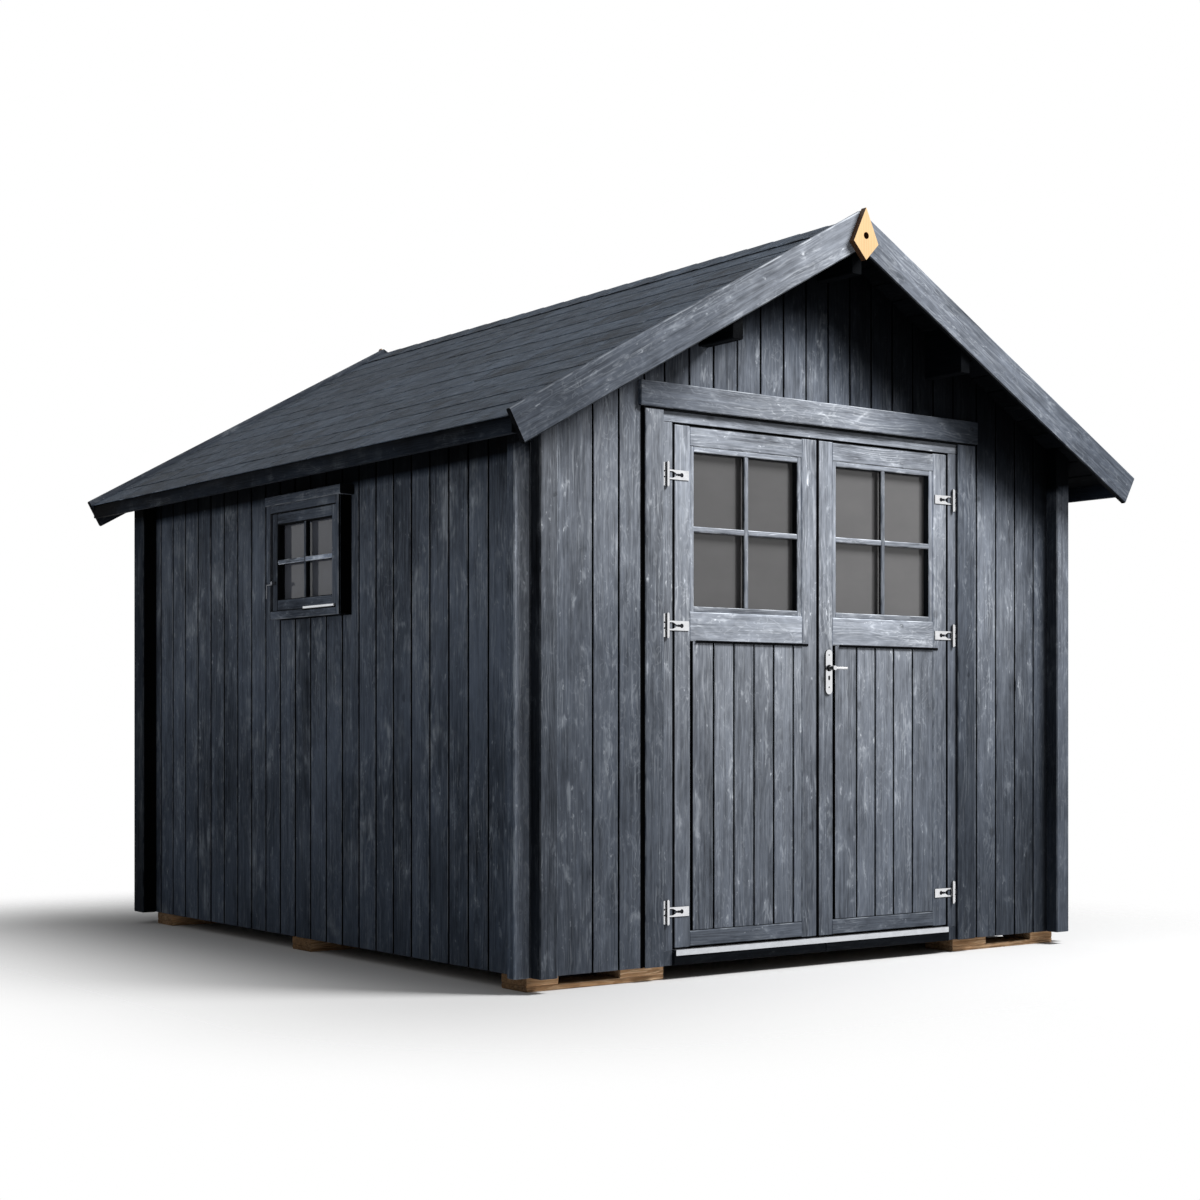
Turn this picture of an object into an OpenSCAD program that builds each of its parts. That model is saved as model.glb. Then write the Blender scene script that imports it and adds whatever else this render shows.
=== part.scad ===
// Wooden garden shed with a gable roof, double doors and one side window.
// +X is to the right seen from the front, +Y runs to the back, +Z is up, and the ground is at Z = 0.

/* [Walls] */
// Outside width of the front and back walls
wall_w = 2500; // [2200:10:3200]
// Outside depth from the front wall to the back wall
wall_d = 2900; // [2400:10:4000]
// Height of the outer top edge of the side walls above the door leaves
wall_over_leaf = 27; // [20:1:300]
// Thickness of the wall boarding
board_t = 19; // [16:1:28]
// Side of the square wall studs
stud_w = 45; // [40:1:60]
// Height of the eave plates on the side walls
plate_h = 70; // [50:1:100]

/* [Corner battens] */
// Width of the battens on the front and back walls
gable_batten_w = 70; // [50:1:90]
// How far the battens stand out from the front and back walls
gable_batten_t = 55; // [30:1:70]
// How far the battens stand out from the side walls
side_batten_t = 62; // [30:1:80]
// Width of the side wall battens at the front corners
side_batten_front_w = 43; // [30:1:90]
// Width of the side wall battens at the back corners
side_batten_back_w = 95; // [60:1:110]

/* [Base and floor] */
// Thickness of the planks that lie on the ground
foot_plank_t = 18; // [15:1:30]
// Height of the blocks between the planks and the floor bearers
foot_block_h = 30; // [20:1:60]
// Length of the planks, in from the side walls
foot_len = 557; // [450:1:650]
// Width of the planks and blocks
foot_w = 142; // [100:1:180]
// Length of the block at the corner end of a plank
outer_block_len = 127; // [100:1:160]
// Length of the block at the inner end of a plank
inner_block_len = 183; // [120:1:200]
// How far the front planks stay behind the front wall face
foot_front_inset = 28; // [20:1:60]
// How far the back planks stay in front of the back wall face
foot_back_inset = 98; // [30:1:140]
// How far the ends of the planks stay inside the side wall faces
foot_side_inset = 3; // [0:1:19]
// Distance of the middle row of planks from the front wall face
foot_mid_y = 1449; // [900:1:1600]
// Height of the floor bearers
bearer_h = 30; // [25:1:60]
// Width of the floor bearers
bearer_w = 60; // [45:1:90]
// Thickness of the floor boards
floor_t = 19; // [16:1:28]

/* [Roof] */
// Slope of the roof in degrees
roof_pitch = 29.2; // [24:0.1:34]
// How far the eaves reach out from the side walls
eave_overhang = 215; // [150:1:300]
// How far the verge boards stand in front of the front wall
front_overhang = 200; // [120:1:350]
// How far the verge boards stand behind the back wall
back_overhang = 143; // [120:1:350]
// Thickness of the roof boarding
deck_t = 18; // [15:1:25]
// Clearance under the roof boarding and under the shingles
roof_clear = 0.1; // [0.05:0.05:0.3]
// Thickness of the shingle covering
shingle_t = 6; // [4:0.5:10]
// Thickness of the verge boards
verge_t = 22; // [18:1:30]
// Height of the verge boards, square to the slope
verge_h = 116; // [95:1:140]
// How far the verge boards stand above the shingles
verge_lip = 18; // [5:1:25]
// Thickness of the eave fascia boards
fascia_t = 20; // [15:1:25]
// How far the fascia boards hang below the roof boarding
fascia_drop = 34; // [20:1:60]
// How far the shingles reach past the fascia boards
drip_len = 22; // [10:1:40]
// Width of the purlins
purlin_w = 45; // [40:1:70]
// Height of the side purlins below the roof boarding
purlin_h = 165; // [90:1:180]
// Height of the ridge purlin below the roof boarding
ridge_purlin_h = 168; // [100:1:200]
// Distance of the side purlins from the ridge
purlin_x = 540; // [400:1:760]

/* [Ridge plates] */
// Height of the kite-shaped plates at the gable peaks
kite_h = 181; // [140:1:200]
// Width of the kite-shaped plates
kite_w = 116; // [100:1:150]
// Height of the kite's widest place above its lower tip
kite_waist = 60; // [40:1:90]
// Thickness of the kite-shaped plates
kite_t = 24; // [12:1:28]
// Diameter of the hole in the kite-shaped plates
kite_hole_d = 24; // [10:1:28]
// How far the kite's upper tip stands above the verge boards
kite_rise = 5; // [0:1:20]

/* [Doors] */
// Offset of the doorway from the middle of the front wall
door_shift = -20; // [-60:1:60]
// Width of one door leaf
leaf_w = 644; // [580:1:680]
// Height of the door leaves
leaf_h = 1745; // [1650:1:1750]
// Thickness of the door leaves
leaf_t = 40; // [34:1:45]
// Gap between the two leaves
meeting_gap = 8; // [7:0.5:10]
// Gap between a leaf and the frame around it
frame_gap = 6; // [5.5:0.5:8]
// Gap between a leaf and the threshold below it
sill_gap = 6.5; // [5.5:0.5:10]
// Width of the leaf stiles
stile_w = 70; // [64:1:80]
// Height of the top rails
top_rail_h = 66; // [55:1:90]
// Height of the middle rails
mid_rail_h = 98; // [80:1:140]
// Height of the bottom rails
bottom_rail_h = 52; // [50:1:100]
// Height of the glazed opening
door_glass_h = 520; // [400:1:560]
// Width of the glazing beads
bead_w = 18; // [12:1:25]
// Thickness of the glazing beads
bead_t = 32; // [20:1:34]
// Thickness of the boarded lower panels
panel_t = 22; // [16:1:30]
// How far the panels and beads stay behind the leaf face
panel_recess = 3; // [1:0.5:5]
// Thickness of the glass
glass_t = 4; // [3:0.5:6]
// How far the door panes sit behind the fronts of the beads
pane_set = 27; // [10:1:28]

/* [Door frame] */
// Width of the jambs and height of the head
jamb_w = 54; // [45:1:60]
// Depth of the jambs and head
frame_depth = 70; // [60:1:90]
// Side of the stop strips behind the leaves
stop_w = 20; // [12:1:24]
// Gap between the closed leaves and the stop strips
stop_gap = 5.5; // [5.5:0.5:6]
// Width of the casing boards beside the doorway
casing_w = 91; // [75:1:120]
// Thickness of the casing boards
casing_t = 12; // [10:1:25]
// How far the casing boards lap over the jambs
casing_lap = 9; // [5:1:12]
// Height of the header board over the doorway
header_h = 84; // [60:1:110]
// Thickness of the header board
header_t = 18; // [14:1:35]
// How far the header board laps down over the head
header_lap = 11; // [0:1:15]
// How far the header board reaches past the casing boards
header_over = 10; // [0:1:30]
// How far the sill stands in front of the wall
sill_nose = 10; // [5:1:20]
// Thickness of the threshold angle
threshold_t = 2.5; // [2:0.5:4]
// Height of the threshold angle's front leg
threshold_h = 19; // [12:1:30]
// Depth of the threshold angle's top leg
threshold_d = 44; // [30:1:60]

/* [Hinges and handle] */
// Radius of the hinge pins
pin_r = 3; // [2.5:0.5:4]
// Outer radius of the hinge knuckles
knuckle_r = 6; // [5:0.5:7]
// Radial clearance of the straps on their pins
pin_clear = 0.3; // [0.2:0.1:0.5]
// Distance of the hinge pins from the leaves' edges
pin_set = 31; // [20:1:32]
// Height of the heads at both ends of the hinge pins
pin_head_h = 3; // [2:0.5:6]
// Height of the hinge plates on the jambs
hinge_plate_h = 78; // [70:1:110]
// Height of the hinge straps on the leaves
strap_h = 32; // [26:1:44]
// Length of the hinge straps on the leaves
strap_len = 62; // [48:1:64]
// Height of the arms of the hinge straps' forked roots
strap_arm_h = 5; // [4:0.5:9]
// Thickness of the hinge plates and straps
hinge_t = 3; // [2:0.5:4]
// Diameter of the screw holes in the hinge plates
screw_d = 6; // [4:0.5:7]
// Diameter of the hole in each hinge strap
strap_hole_d = 15; // [6:0.5:18]
// Height of the lowest hinge above the leaf's lower edge
low_hinge_rise = 120; // [90:1:200]
// Drop of the highest hinge below the leaf's upper edge
high_hinge_drop = 168; // [120:1:250]
// Height of the door lever above the floor
lever_rise = 953; // [900:1:1000]
// Distance of the lever from the leaf's meeting edge
lever_inset = 46; // [35:1:48]
// Width of the handle plates
handle_plate_w = 31; // [28:1:40]
// Height of the handle plates
handle_plate_h = 158; // [140:1:220]
// How far the handle plates reach above the lever
handle_plate_up = 65; // [40:1:80]
// Thickness of the handle plates
handle_plate_t = 6; // [4:0.5:8]
// Length of the lever arms from their pivot
lever_len = 60; // [50:1:120]
// Radius of the lever arms
lever_r = 6; // [5:0.5:8]
// Distance of the lever arms from the leaf faces
lever_reach = 32; // [28:1:55]
// Radius of the lever hubs
hub_r = 8; // [7:0.5:10]
// Radius of the square-cut spindle's round shank through the leaf
spindle_r = 4.5; // [3.5:0.5:5]
// Clearance around the hubs and the spindle
lever_clear = 0.5; // [0.3:0.1:1]
// Height of the keyhole below the lever
keyhole_drop = 35; // [30:1:45]
// Width of the keyhole
keyhole_d = 9; // [6:0.5:11]
// Length of the keyhole's straight sides
keyhole_len = 8; // [4:1:12]

/* [Side window] */
// Distance of the window's middle from the front wall face
window_y = 1404; // [1000:1:1800]
// Drop of the glazed opening's lower edge below the wall's top edge
window_drop = 556; // [520:1:700]
// Width of the glazed opening
window_glass_w = 417; // [300:1:600]
// Height of the glazed opening
window_glass_h = 283; // [200:1:300]
// Width of the sash bars
sash_w = 42; // [35:1:55]
// Thickness of the sash
sash_t = 35; // [28:1:40]
// How far the sash stays behind the front of the window frame
sash_recess = 9; // [2:1:15]
// How far the window pane sits behind the front of the sash
sash_pane_set = 30; // [10:1:31]
// Height of the window frame's level bars
window_frame_w = 32; // [25:1:45]
// Width of the window frame's upright bars
window_side_w = 19; // [15:1:45]
// How far the window frame stands out from the wall
window_proud = 56; // [30:1:75]
// How far the window frame reaches in behind the boarding
window_inner = 20; // [0:1:30]
// Height of the head trim over the window
window_trim_h = 35; // [25:1:40]
// How far the head trim reaches past the window frame
window_trim_over = 22; // [0:1:25]
// How far the head trim stands in front of the window frame
window_trim_lip = 3; // [0:1:15]
// Clearance of the sash and the panes in their seats
seat_clear = 0.3; // [0.2:0.1:0.5]

/* [Hidden] */
$fn = 48;
eps = 1;
front_y = (front_overhang - back_overhang - wall_d) / 2;
back_y = front_y + wall_d;
side_x = wall_w / 2;
inner_x = side_x - board_t;
base_z = foot_plank_t + foot_block_h;
deck_z = base_z + bearer_h;
floor_z = deck_z + floor_t;
leaf_z = floor_z + threshold_t + sill_gap;
leaf_top = leaf_z + leaf_h;
wall_top = leaf_top + wall_over_leaf;

// Roof lines, measured square to the slope from the tops of the walls
slope_tan = tan(roof_pitch);
slope_cos = cos(roof_pitch);
slope_sin = sin(roof_pitch);
ridge_z = wall_top + side_x * slope_tan;
cover_up = deck_t + shingle_t;
verge_up = cover_up + verge_lip;
verge_down = verge_up - verge_h;
eave_x = side_x + eave_overhang;
eave_run = (eave_x - verge_up * slope_sin) / slope_cos;
fascia_x = eave_x - drip_len;
roof_front = front_y - front_overhang + verge_t;
roof_back = back_y + back_overhang - verge_t;
kite_top = ridge_z + verge_up / slope_cos + kite_rise;
function slope_z(x, up = 0) = ridge_z - abs(x) * slope_tan + up / slope_cos;
function slope_point(run, up) =
  [run * slope_cos + up * slope_sin, ridge_z - run * slope_sin + up * slope_cos];

// Doorway, measured from the middle of the doorway
head_z = leaf_top + frame_gap;
leaf_x = meeting_gap / 2 + leaf_w;
open_x = leaf_x + frame_gap;
jamb_x = open_x + jamb_w;
pin_x = leaf_x + pin_set;
pin_y = -knuckle_r - pin_clear;
casing_x = jamb_x - casing_lap;
header_z = head_z + jamb_w - header_lap;
panel_z = leaf_z + bottom_rail_h;
glazing_z = leaf_top - top_rail_h - door_glass_h - 2 * bead_w;
mid_rail_z = glazing_z - mid_rail_h;
hinge_zs = [leaf_z + low_hinge_rise, mid_rail_z + mid_rail_h / 2, leaf_top - high_hinge_drop];
lever_x = meeting_gap / 2 + lever_inset;
lever_z = floor_z + lever_rise;
handle_hole_r = hub_r + lever_clear;

// Side window, measured from the outer face of the left wall
window_mid_y = front_y + window_y;
window_sill_z = wall_top - window_drop;
frame_open_w = window_glass_w + 2 * (sash_w + seat_clear);
frame_open_z = window_sill_z - sash_w - seat_clear;
frame_open_h = window_glass_h + 2 * (sash_w + seat_clear);
window_w = frame_open_w + 2 * window_side_w;
window_z = frame_open_z - window_frame_w;
window_h = frame_open_h + 2 * window_frame_w;

// Wall studs beside the window and midway to the corners, and back studs clear of the purlins
window_stud_1 = window_mid_y - window_w / 2 - stud_w;
window_stud_2 = window_mid_y + window_w / 2;
corner_stud_1 = front_y + frame_depth;
corner_stud_2 = back_y - board_t - stud_w;
stud_ys = [
  corner_stud_1,
  (corner_stud_1 + window_stud_1) / 2,
  window_stud_1,
  window_stud_2,
  (window_stud_2 + corner_stud_2) / 2,
  corner_stud_2
];
back_stud_xs = [purlin_x / 2, (purlin_x + side_x) / 2];

// Rows of feet and lines of floor bearers
foot_rows = [
  front_y + foot_front_inset,
  front_y + foot_mid_y,
  back_y - foot_back_inset - foot_w
];
foot_end_x = side_x - foot_side_inset;
foot_x = foot_end_x - foot_len;
bearer_xs = [foot_end_x - outer_block_len / 2, foot_x + inner_block_len / 2];
bearer_front = front_y + board_t;
bearer_back = back_y - board_t;

stain = "#33373d";
bare_wood = "#a9754a";
steel = "#c8cacd";

// Box given by its lowest and highest corners
module block(low, high) {
  translate(low) cube(high - low);
}

// Both a shape and its mirror image across the middle plane
module both_sides() {
  children();
  mirror([1, 0, 0]) children();
}

// Outline in X and Z pushed along Y
module along_y(y0, y1) {
  translate([0, y1, 0]) rotate([90, 0, 0]) linear_extrude(y1 - y0) children();
}

// Outline in Y and Z pushed along X
module along_x(x0, x1) {
  translate([x0, 0, 0]) rotate([90, 0, 90]) linear_extrude(x1 - x0) children();
}

// Frame of four bars around an opening, in the outline plane
module ring_outline(w, h, bar, side) {
  difference() {
    translate([-w / 2, 0]) square([w, h]);
    translate([-w / 2 + side, bar]) square([w - 2 * side, h - 2 * bar]);
  }
}

// Right half of a layer that lies on the roof slope and ends square to it
module slope_layer(low, high, run) {
  polygon([
    [0, slope_z(0, low)],
    slope_point(run, low),
    slope_point(run, high),
    [0, slope_z(0, high)]
  ]);
}

// Beam under the roof boarding, with its top planed to the slope
module bevelled_beam(x0, x1, drop, rise) {
  polygon([
    [x0, slope_z(max(x0, 0)) - drop],
    [x1, slope_z(max(x0, 0)) - drop],
    [x1, slope_z(x1) + rise],
    [max(x0, 0), slope_z(max(x0, 0)) + rise],
    [x0, slope_z(x0) + rise]
  ]);
}

// Full outline of an end wall up to the roof boarding
module gable_outline() {
  polygon([
    [-side_x, base_z],
    [side_x, base_z],
    [side_x, wall_top],
    [0, ridge_z],
    [-side_x, wall_top]
  ]);
}

// The three purlins, at the ridge and halfway down both slopes
module purlin_lines(y0, y1, rise = 0) {
  both_sides() along_y(y0, y1)
    bevelled_beam(purlin_x - purlin_w / 2, purlin_x + purlin_w / 2, purlin_h, rise);
  along_y(y0, y1) bevelled_beam(-purlin_w / 2, purlin_w / 2, ridge_purlin_h, rise);
}

// Notches for the purlins where they pass through an end wall, open at the top
module purlin_notches(y0, y1) {
  purlin_lines(y0 - eps, y1 + eps, eps);
}

// Everything placed about the middle of the doorway
module at_doorway() {
  translate([door_shift, front_y, 0]) children();
}

// Feet: a plank with a block at each end in every row on both sides, and one short foot under the middle
module foot_row(front) {
  both_sides() block([foot_x, front, 0], [foot_end_x, front + foot_w, foot_plank_t]);
}

module middle_foot(front, z0, z1) {
  block([-inner_block_len / 2, front, z0], [inner_block_len / 2, front + foot_w, z1]);
}

module foot_planks() {
  color(bare_wood) {
    for (front = foot_rows) foot_row(front);
    for (i = [1, 2]) middle_foot(foot_rows[i], 0, foot_plank_t);
  }
}

module foot_blocks() {
  color(bare_wood) {
    for (front = foot_rows) both_sides() {
      block([foot_end_x - outer_block_len, front, foot_plank_t], [foot_end_x, front + foot_w, base_z]);
      block([foot_x, front, foot_plank_t], [foot_x + inner_block_len, front + foot_w, base_z]);
    }
    for (i = [1, 2]) middle_foot(foot_rows[i], foot_plank_t, base_z);
  }
}

module floor_bearers() {
  color(bare_wood) {
    for (x = bearer_xs) both_sides()
      block([x - bearer_w / 2, bearer_front, base_z], [x + bearer_w / 2, bearer_back, deck_z]);
    block([-bearer_w / 2, bearer_front, base_z], [bearer_w / 2, bearer_back, deck_z]);
  }
}

module floor_boards() {
  color(bare_wood)
    block([-inner_x, bearer_front, deck_z], [inner_x, bearer_back, floor_z]);
}

// Front wall, split beside and over the doorway
module front_wall_part(x0, x1, z0, z1) {
  color(stain) difference() {
    intersection() {
      along_y(front_y, front_y + board_t) gable_outline();
      block([x0, front_y - eps, z0], [x1, front_y + board_t + eps, z1]);
    }
    purlin_notches(front_y, front_y + board_t);
  }
}

module front_wall_left() {
  front_wall_part(-side_x - eps, door_shift - jamb_x, 0, head_z + jamb_w);
}

module front_wall_right() {
  front_wall_part(door_shift + jamb_x, side_x + eps, 0, head_z + jamb_w);
}

module front_gable() {
  front_wall_part(-side_x - eps, side_x + eps, head_z + jamb_w, ridge_z + eps);
}

// Side walls stand between the end walls, with their tops planed to the roof slope
module side_wall_outline() {
  polygon([
    [inner_x, base_z],
    [side_x, base_z],
    [side_x, wall_top],
    [inner_x, slope_z(inner_x)]
  ]);
}

module left_wall() {
  color(stain) difference() {
    mirror([1, 0, 0]) along_y(front_y + board_t, back_y - board_t) side_wall_outline();
    block(
      [-side_x - eps, window_mid_y - window_w / 2, window_z],
      [-inner_x + eps, window_mid_y + window_w / 2, window_z + window_h]
    );
  }
}

module right_wall() {
  color(stain) along_y(front_y + board_t, back_y - board_t) side_wall_outline();
}

module back_wall() {
  color(stain) difference() {
    along_y(back_y - board_t, back_y) gable_outline();
    purlin_notches(back_y - board_t, back_y);
  }
}

module wall_studs() {
  plate_z = wall_top - plate_h;
  color(bare_wood) {
    for (y = stud_ys) both_sides()
      block([inner_x - stud_w, y, floor_z], [inner_x, y + stud_w, plate_z]);
    for (x = back_stud_xs) both_sides()
      block(
        [x - stud_w / 2, corner_stud_2, floor_z],
        [x + stud_w / 2, corner_stud_2 + stud_w, slope_z(x + stud_w / 2)]
      );
  }
}

module eave_plates() {
  color(bare_wood) both_sides() along_y(front_y + board_t, back_y - board_t)
    polygon([
      [inner_x - stud_w, wall_top - plate_h],
      [inner_x, wall_top - plate_h],
      [inner_x, slope_z(inner_x)],
      [inner_x - stud_w, slope_z(inner_x - stud_w)]
    ]);
}

// Corner battens end under the roof boarding
module batten_outline(x0, x1) {
  polygon([[x0, base_z], [x1, base_z], [x1, slope_z(x1)], [x0, slope_z(x0)]]);
}

module gable_corner_battens() {
  color(stain) both_sides() {
    along_y(front_y - gable_batten_t, front_y) batten_outline(side_x - gable_batten_w, side_x);
    along_y(back_y, back_y + gable_batten_t) batten_outline(side_x - gable_batten_w, side_x);
  }
}

module side_corner_battens() {
  color(stain) both_sides() {
    along_y(front_y, front_y + side_batten_front_w) batten_outline(side_x, side_x + side_batten_t);
    along_y(back_y - side_batten_back_w, back_y) batten_outline(side_x, side_x + side_batten_t);
  }
}

module purlins() {
  color(stain) purlin_lines(roof_front, roof_back);
}

// Roof boarding ends behind the fascia boards
module roof_boards_half() {
  deck_x = fascia_x - fascia_t;
  along_y(roof_front, roof_back)
    polygon([
      [0, slope_z(0, roof_clear)],
      [deck_x, slope_z(deck_x, roof_clear)],
      [deck_x, slope_z(deck_x, deck_t)],
      [0, slope_z(0, deck_t)]
    ]);
}

module roof_boards_left() {
  color(stain) mirror([1, 0, 0]) roof_boards_half();
}

module roof_boards_right() {
  color(stain) roof_boards_half();
}

// Shingle covering, running out past the fascia boards as a drip edge
module shingles_half() {
  along_y(roof_front, roof_back) slope_layer(deck_t + roof_clear, cover_up, eave_run);
}

module shingles_left() {
  color("#30333a") mirror([1, 0, 0]) shingles_half();
}

module shingles_right() {
  color("#30333a") shingles_half();
}

// Verge boards at both ends of the roof, mitred at the peak
module verge_half() {
  along_y(roof_front - verge_t, roof_front) slope_layer(verge_down, verge_up, eave_run);
  along_y(roof_back, roof_back + verge_t) slope_layer(verge_down, verge_up, eave_run);
}

module verge_boards_left() {
  color("#4a4f57") mirror([1, 0, 0]) verge_half();
}

module verge_boards_right() {
  color("#4a4f57") verge_half();
}

module eave_fascias() {
  inner = fascia_x - fascia_t;
  low = slope_z(fascia_x) - fascia_drop;
  color(stain) both_sides() along_y(roof_front, roof_back)
    polygon([
      [inner, low],
      [fascia_x, low],
      [fascia_x, slope_z(fascia_x, deck_t)],
      [inner, slope_z(inner, deck_t)]
    ]);
}

// Kite-shaped plates that cover the mitres of the verge boards
module kite_outline() {
  difference() {
    polygon([
      [0, kite_top],
      [-kite_w / 2, kite_top - kite_h + kite_waist],
      [0, kite_top - kite_h],
      [kite_w / 2, kite_top - kite_h + kite_waist]
    ]);
    translate([0, kite_top - kite_h + kite_waist + kite_hole_d]) circle(d = kite_hole_d);
  }
}

module ridge_plates() {
  color("#dcae64") {
    along_y(roof_front - verge_t - kite_t, roof_front - verge_t) kite_outline();
    along_y(roof_back + verge_t, roof_back + verge_t + kite_t) kite_outline();
  }
}

module door_jambs() {
  color(stain) at_doorway() both_sides()
    block([open_x, 0, floor_z], [jamb_x, frame_depth, head_z]);
}

module door_head() {
  color(stain) at_doorway()
    block([-jamb_x, 0, head_z], [jamb_x, frame_depth, head_z + jamb_w]);
}

// Stop strips on the jambs and under the head, behind the closed leaves
module door_stops() {
  stop_y = leaf_t + stop_gap;
  color(stain) at_doorway() {
    both_sides() block([open_x - stop_w, stop_y, floor_z], [open_x, frame_depth, head_z]);
    block(
      [-open_x + stop_w + seat_clear, stop_y, head_z - stop_w],
      [open_x - stop_w - seat_clear, frame_depth, head_z]
    );
  }
}

module door_casings() {
  color(stain) at_doorway() both_sides()
    block([casing_x, -casing_t, base_z], [casing_x + casing_w, 0, header_z]);
}

module door_header() {
  header_x = casing_x + casing_w + header_over;
  color(stain) at_doorway()
    block([-header_x, -header_t, header_z], [header_x, 0, header_z + header_h]);
}

// Sill under the doorway, in line with the wall boarding and the floor
module door_sill() {
  color(stain) at_doorway() {
    block([-jamb_x, 0, base_z], [jamb_x, board_t, floor_z]);
    block([-open_x, -sill_nose, base_z], [open_x, eps, floor_z]);
  }
}

// Metal angle on the front edge of the sill
module threshold() {
  color(steel) at_doorway() along_x(-open_x + frame_gap, open_x - frame_gap)
    polygon([
      [-sill_nose - threshold_t, floor_z + threshold_t - threshold_h],
      [-sill_nose, floor_z + threshold_t - threshold_h],
      [-sill_nose, floor_z],
      [threshold_d - sill_nose, floor_z],
      [threshold_d - sill_nose, floor_z + threshold_t],
      [-sill_nose - threshold_t, floor_z + threshold_t]
    ]);
}

// One leaf is drawn to the right of the doorway's middle; the left one is its mirror image
module leaf_side(side) {
  at_doorway() mirror([side < 0 ? 1 : 0, 0, 0]) translate([meeting_gap / 2, 0, 0]) children();
}

module leaf_stiles() {
  block([0, 0, leaf_z], [stile_w, leaf_t, leaf_top]);
  block([leaf_w - stile_w, 0, leaf_z], [leaf_w, leaf_t, leaf_top]);
}

module leaf_rails() {
  block([stile_w, 0, leaf_z], [leaf_w - stile_w, leaf_t, panel_z]);
  block([stile_w, 0, mid_rail_z], [leaf_w - stile_w, leaf_t, glazing_z]);
  block([stile_w, 0, leaf_top - top_rail_h], [leaf_w - stile_w, leaf_t, leaf_top]);
}

module leaf_panel() {
  block([stile_w, panel_recess, panel_z], [leaf_w - stile_w, panel_recess + panel_t, mid_rail_z]);
}

module leaf_beads() {
  translate([leaf_w / 2, 0, glazing_z]) along_y(panel_recess, panel_recess + bead_t)
    ring_outline(leaf_w - 2 * stile_w, door_glass_h + 2 * bead_w, bead_w, bead_w);
}

module leaf_glass() {
  side = stile_w + bead_w + seat_clear;
  y = panel_recess + min(pane_set, bead_t - glass_t);
  block(
    [side, y, glazing_z + bead_w + seat_clear],
    [leaf_w - side, y + glass_t, glazing_z + bead_w + door_glass_h - seat_clear]
  );
}

module left_door_stiles() {
  color(stain) leaf_side(-1) leaf_stiles();
}

module left_door_rails() {
  color(stain) leaf_side(-1) leaf_rails();
}

module left_door_panel() {
  color(stain) leaf_side(-1) leaf_panel();
}

module left_door_beads() {
  color(stain) leaf_side(-1) leaf_beads();
}

module left_door_glass() {
  color("gray") leaf_side(-1) leaf_glass();
}

// The right leaf's meeting stile is drilled for the spindle of the lever
module right_door_stiles() {
  color(stain) difference() {
    leaf_side(1) leaf_stiles();
    at_doorway() translate([lever_x, -eps, lever_z]) rotate([-90, 0, 0])
      cylinder(r = handle_hole_r, h = leaf_t + 2 * eps);
  }
}

module right_door_rails() {
  color(stain) leaf_side(1) leaf_rails();
}

module right_door_panel() {
  color(stain) leaf_side(1) leaf_panel();
}

module right_door_beads() {
  color(stain) leaf_side(1) leaf_beads();
}

module right_door_glass() {
  color("gray") leaf_side(1) leaf_glass();
}

// Hinges are drawn about their own middle height
// Upright cylinder of a hinge, about the pin
module barrel(r, z0, z1) {
  translate([pin_x, pin_y, z0]) cylinder(r = r, h = z1 - z0);
}

// Screw hole through a hinge, square to the door
module screw_hole(x, z, d) {
  translate([x, -hinge_t - eps, z]) rotate([-90, 0, 0]) cylinder(d = d, h = hinge_t + 2 * eps);
}

// Plate on the jamb, with a knuckle above and below the strap and a headed pin through both
module hinge_plate() {
  half = hinge_plate_h / 2;
  knuckle_z = strap_h / 2 + pin_clear;
  plate_x0 = pin_x + knuckle_r + 2 * pin_clear;
  plate_x1 = casing_x - hinge_t;
  for (side = [0, 1]) mirror([0, 0, side]) {
    barrel(knuckle_r, knuckle_z, half);
    barrel((pin_r + knuckle_r) / 2, half, half + pin_head_h);
    block([pin_x, -hinge_t, knuckle_z], [plate_x1, 0, half]);
  }
  barrel(pin_r, -half, half);
  difference() {
    block([plate_x0, -hinge_t, -half], [plate_x1, 0, half]);
    for (side = [-1, 1]) screw_hole((plate_x0 + plate_x1) / 2, side * half / 4, screw_d);
  }
}

module hinge_plates() {
  color(steel) at_doorway() both_sides() for (z = hinge_zs) translate([0, 0, z]) hinge_plate();
}

// Strap on the leaf, forked at its root and rolled around the pin
module hinge_strap() {
  half = strap_h / 2;
  fork_x = pin_x - knuckle_r - hinge_t;
  fork_z = half - strap_arm_h;
  difference() {
    union() {
      barrel(knuckle_r, -half, half);
      block([leaf_x - strap_len, -hinge_t, -half], [leaf_x, 0, half]);
      block([leaf_x - eps, -hinge_t, -half], [pin_x, -pin_clear, half]);
    }
    barrel(pin_r + pin_clear, -half - eps, half + eps);
    along_y(-hinge_t - eps, eps) polygon([
      [fork_x, -fork_z], [fork_x, fork_z], [open_x, fork_z], [leaf_x - pin_set / 2, 0], [open_x, -fork_z]
    ]);
    screw_hole(leaf_x - strap_len / 2, 0, strap_hole_d);
  }
}

module left_hinge_straps() {
  color(steel) at_doorway() mirror([1, 0, 0]) for (z = hinge_zs) translate([0, 0, z]) hinge_strap();
}

module right_hinge_straps() {
  color(steel) at_doorway() for (z = hinge_zs) translate([0, 0, z]) hinge_strap();
}

// Upright outline with round ends, in line with the lever
module round_ended(r, low, high) {
  translate([lever_x, low]) circle(r);
  translate([lever_x, high]) circle(r);
  translate([lever_x - r, low]) square([2 * r, high - low]);
}

// Long plates on both faces of the right leaf
module handle_plate_outline() {
  r = handle_plate_w / 2;
  top = lever_z + handle_plate_up;
  keyhole_z = lever_z - keyhole_drop;
  difference() {
    round_ended(r, top - handle_plate_h + r, top - r);
    translate([lever_x, lever_z]) circle(handle_hole_r);
    round_ended(keyhole_d / 2, keyhole_z - keyhole_len / 2, keyhole_z + keyhole_len / 2);
  }
}

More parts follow.
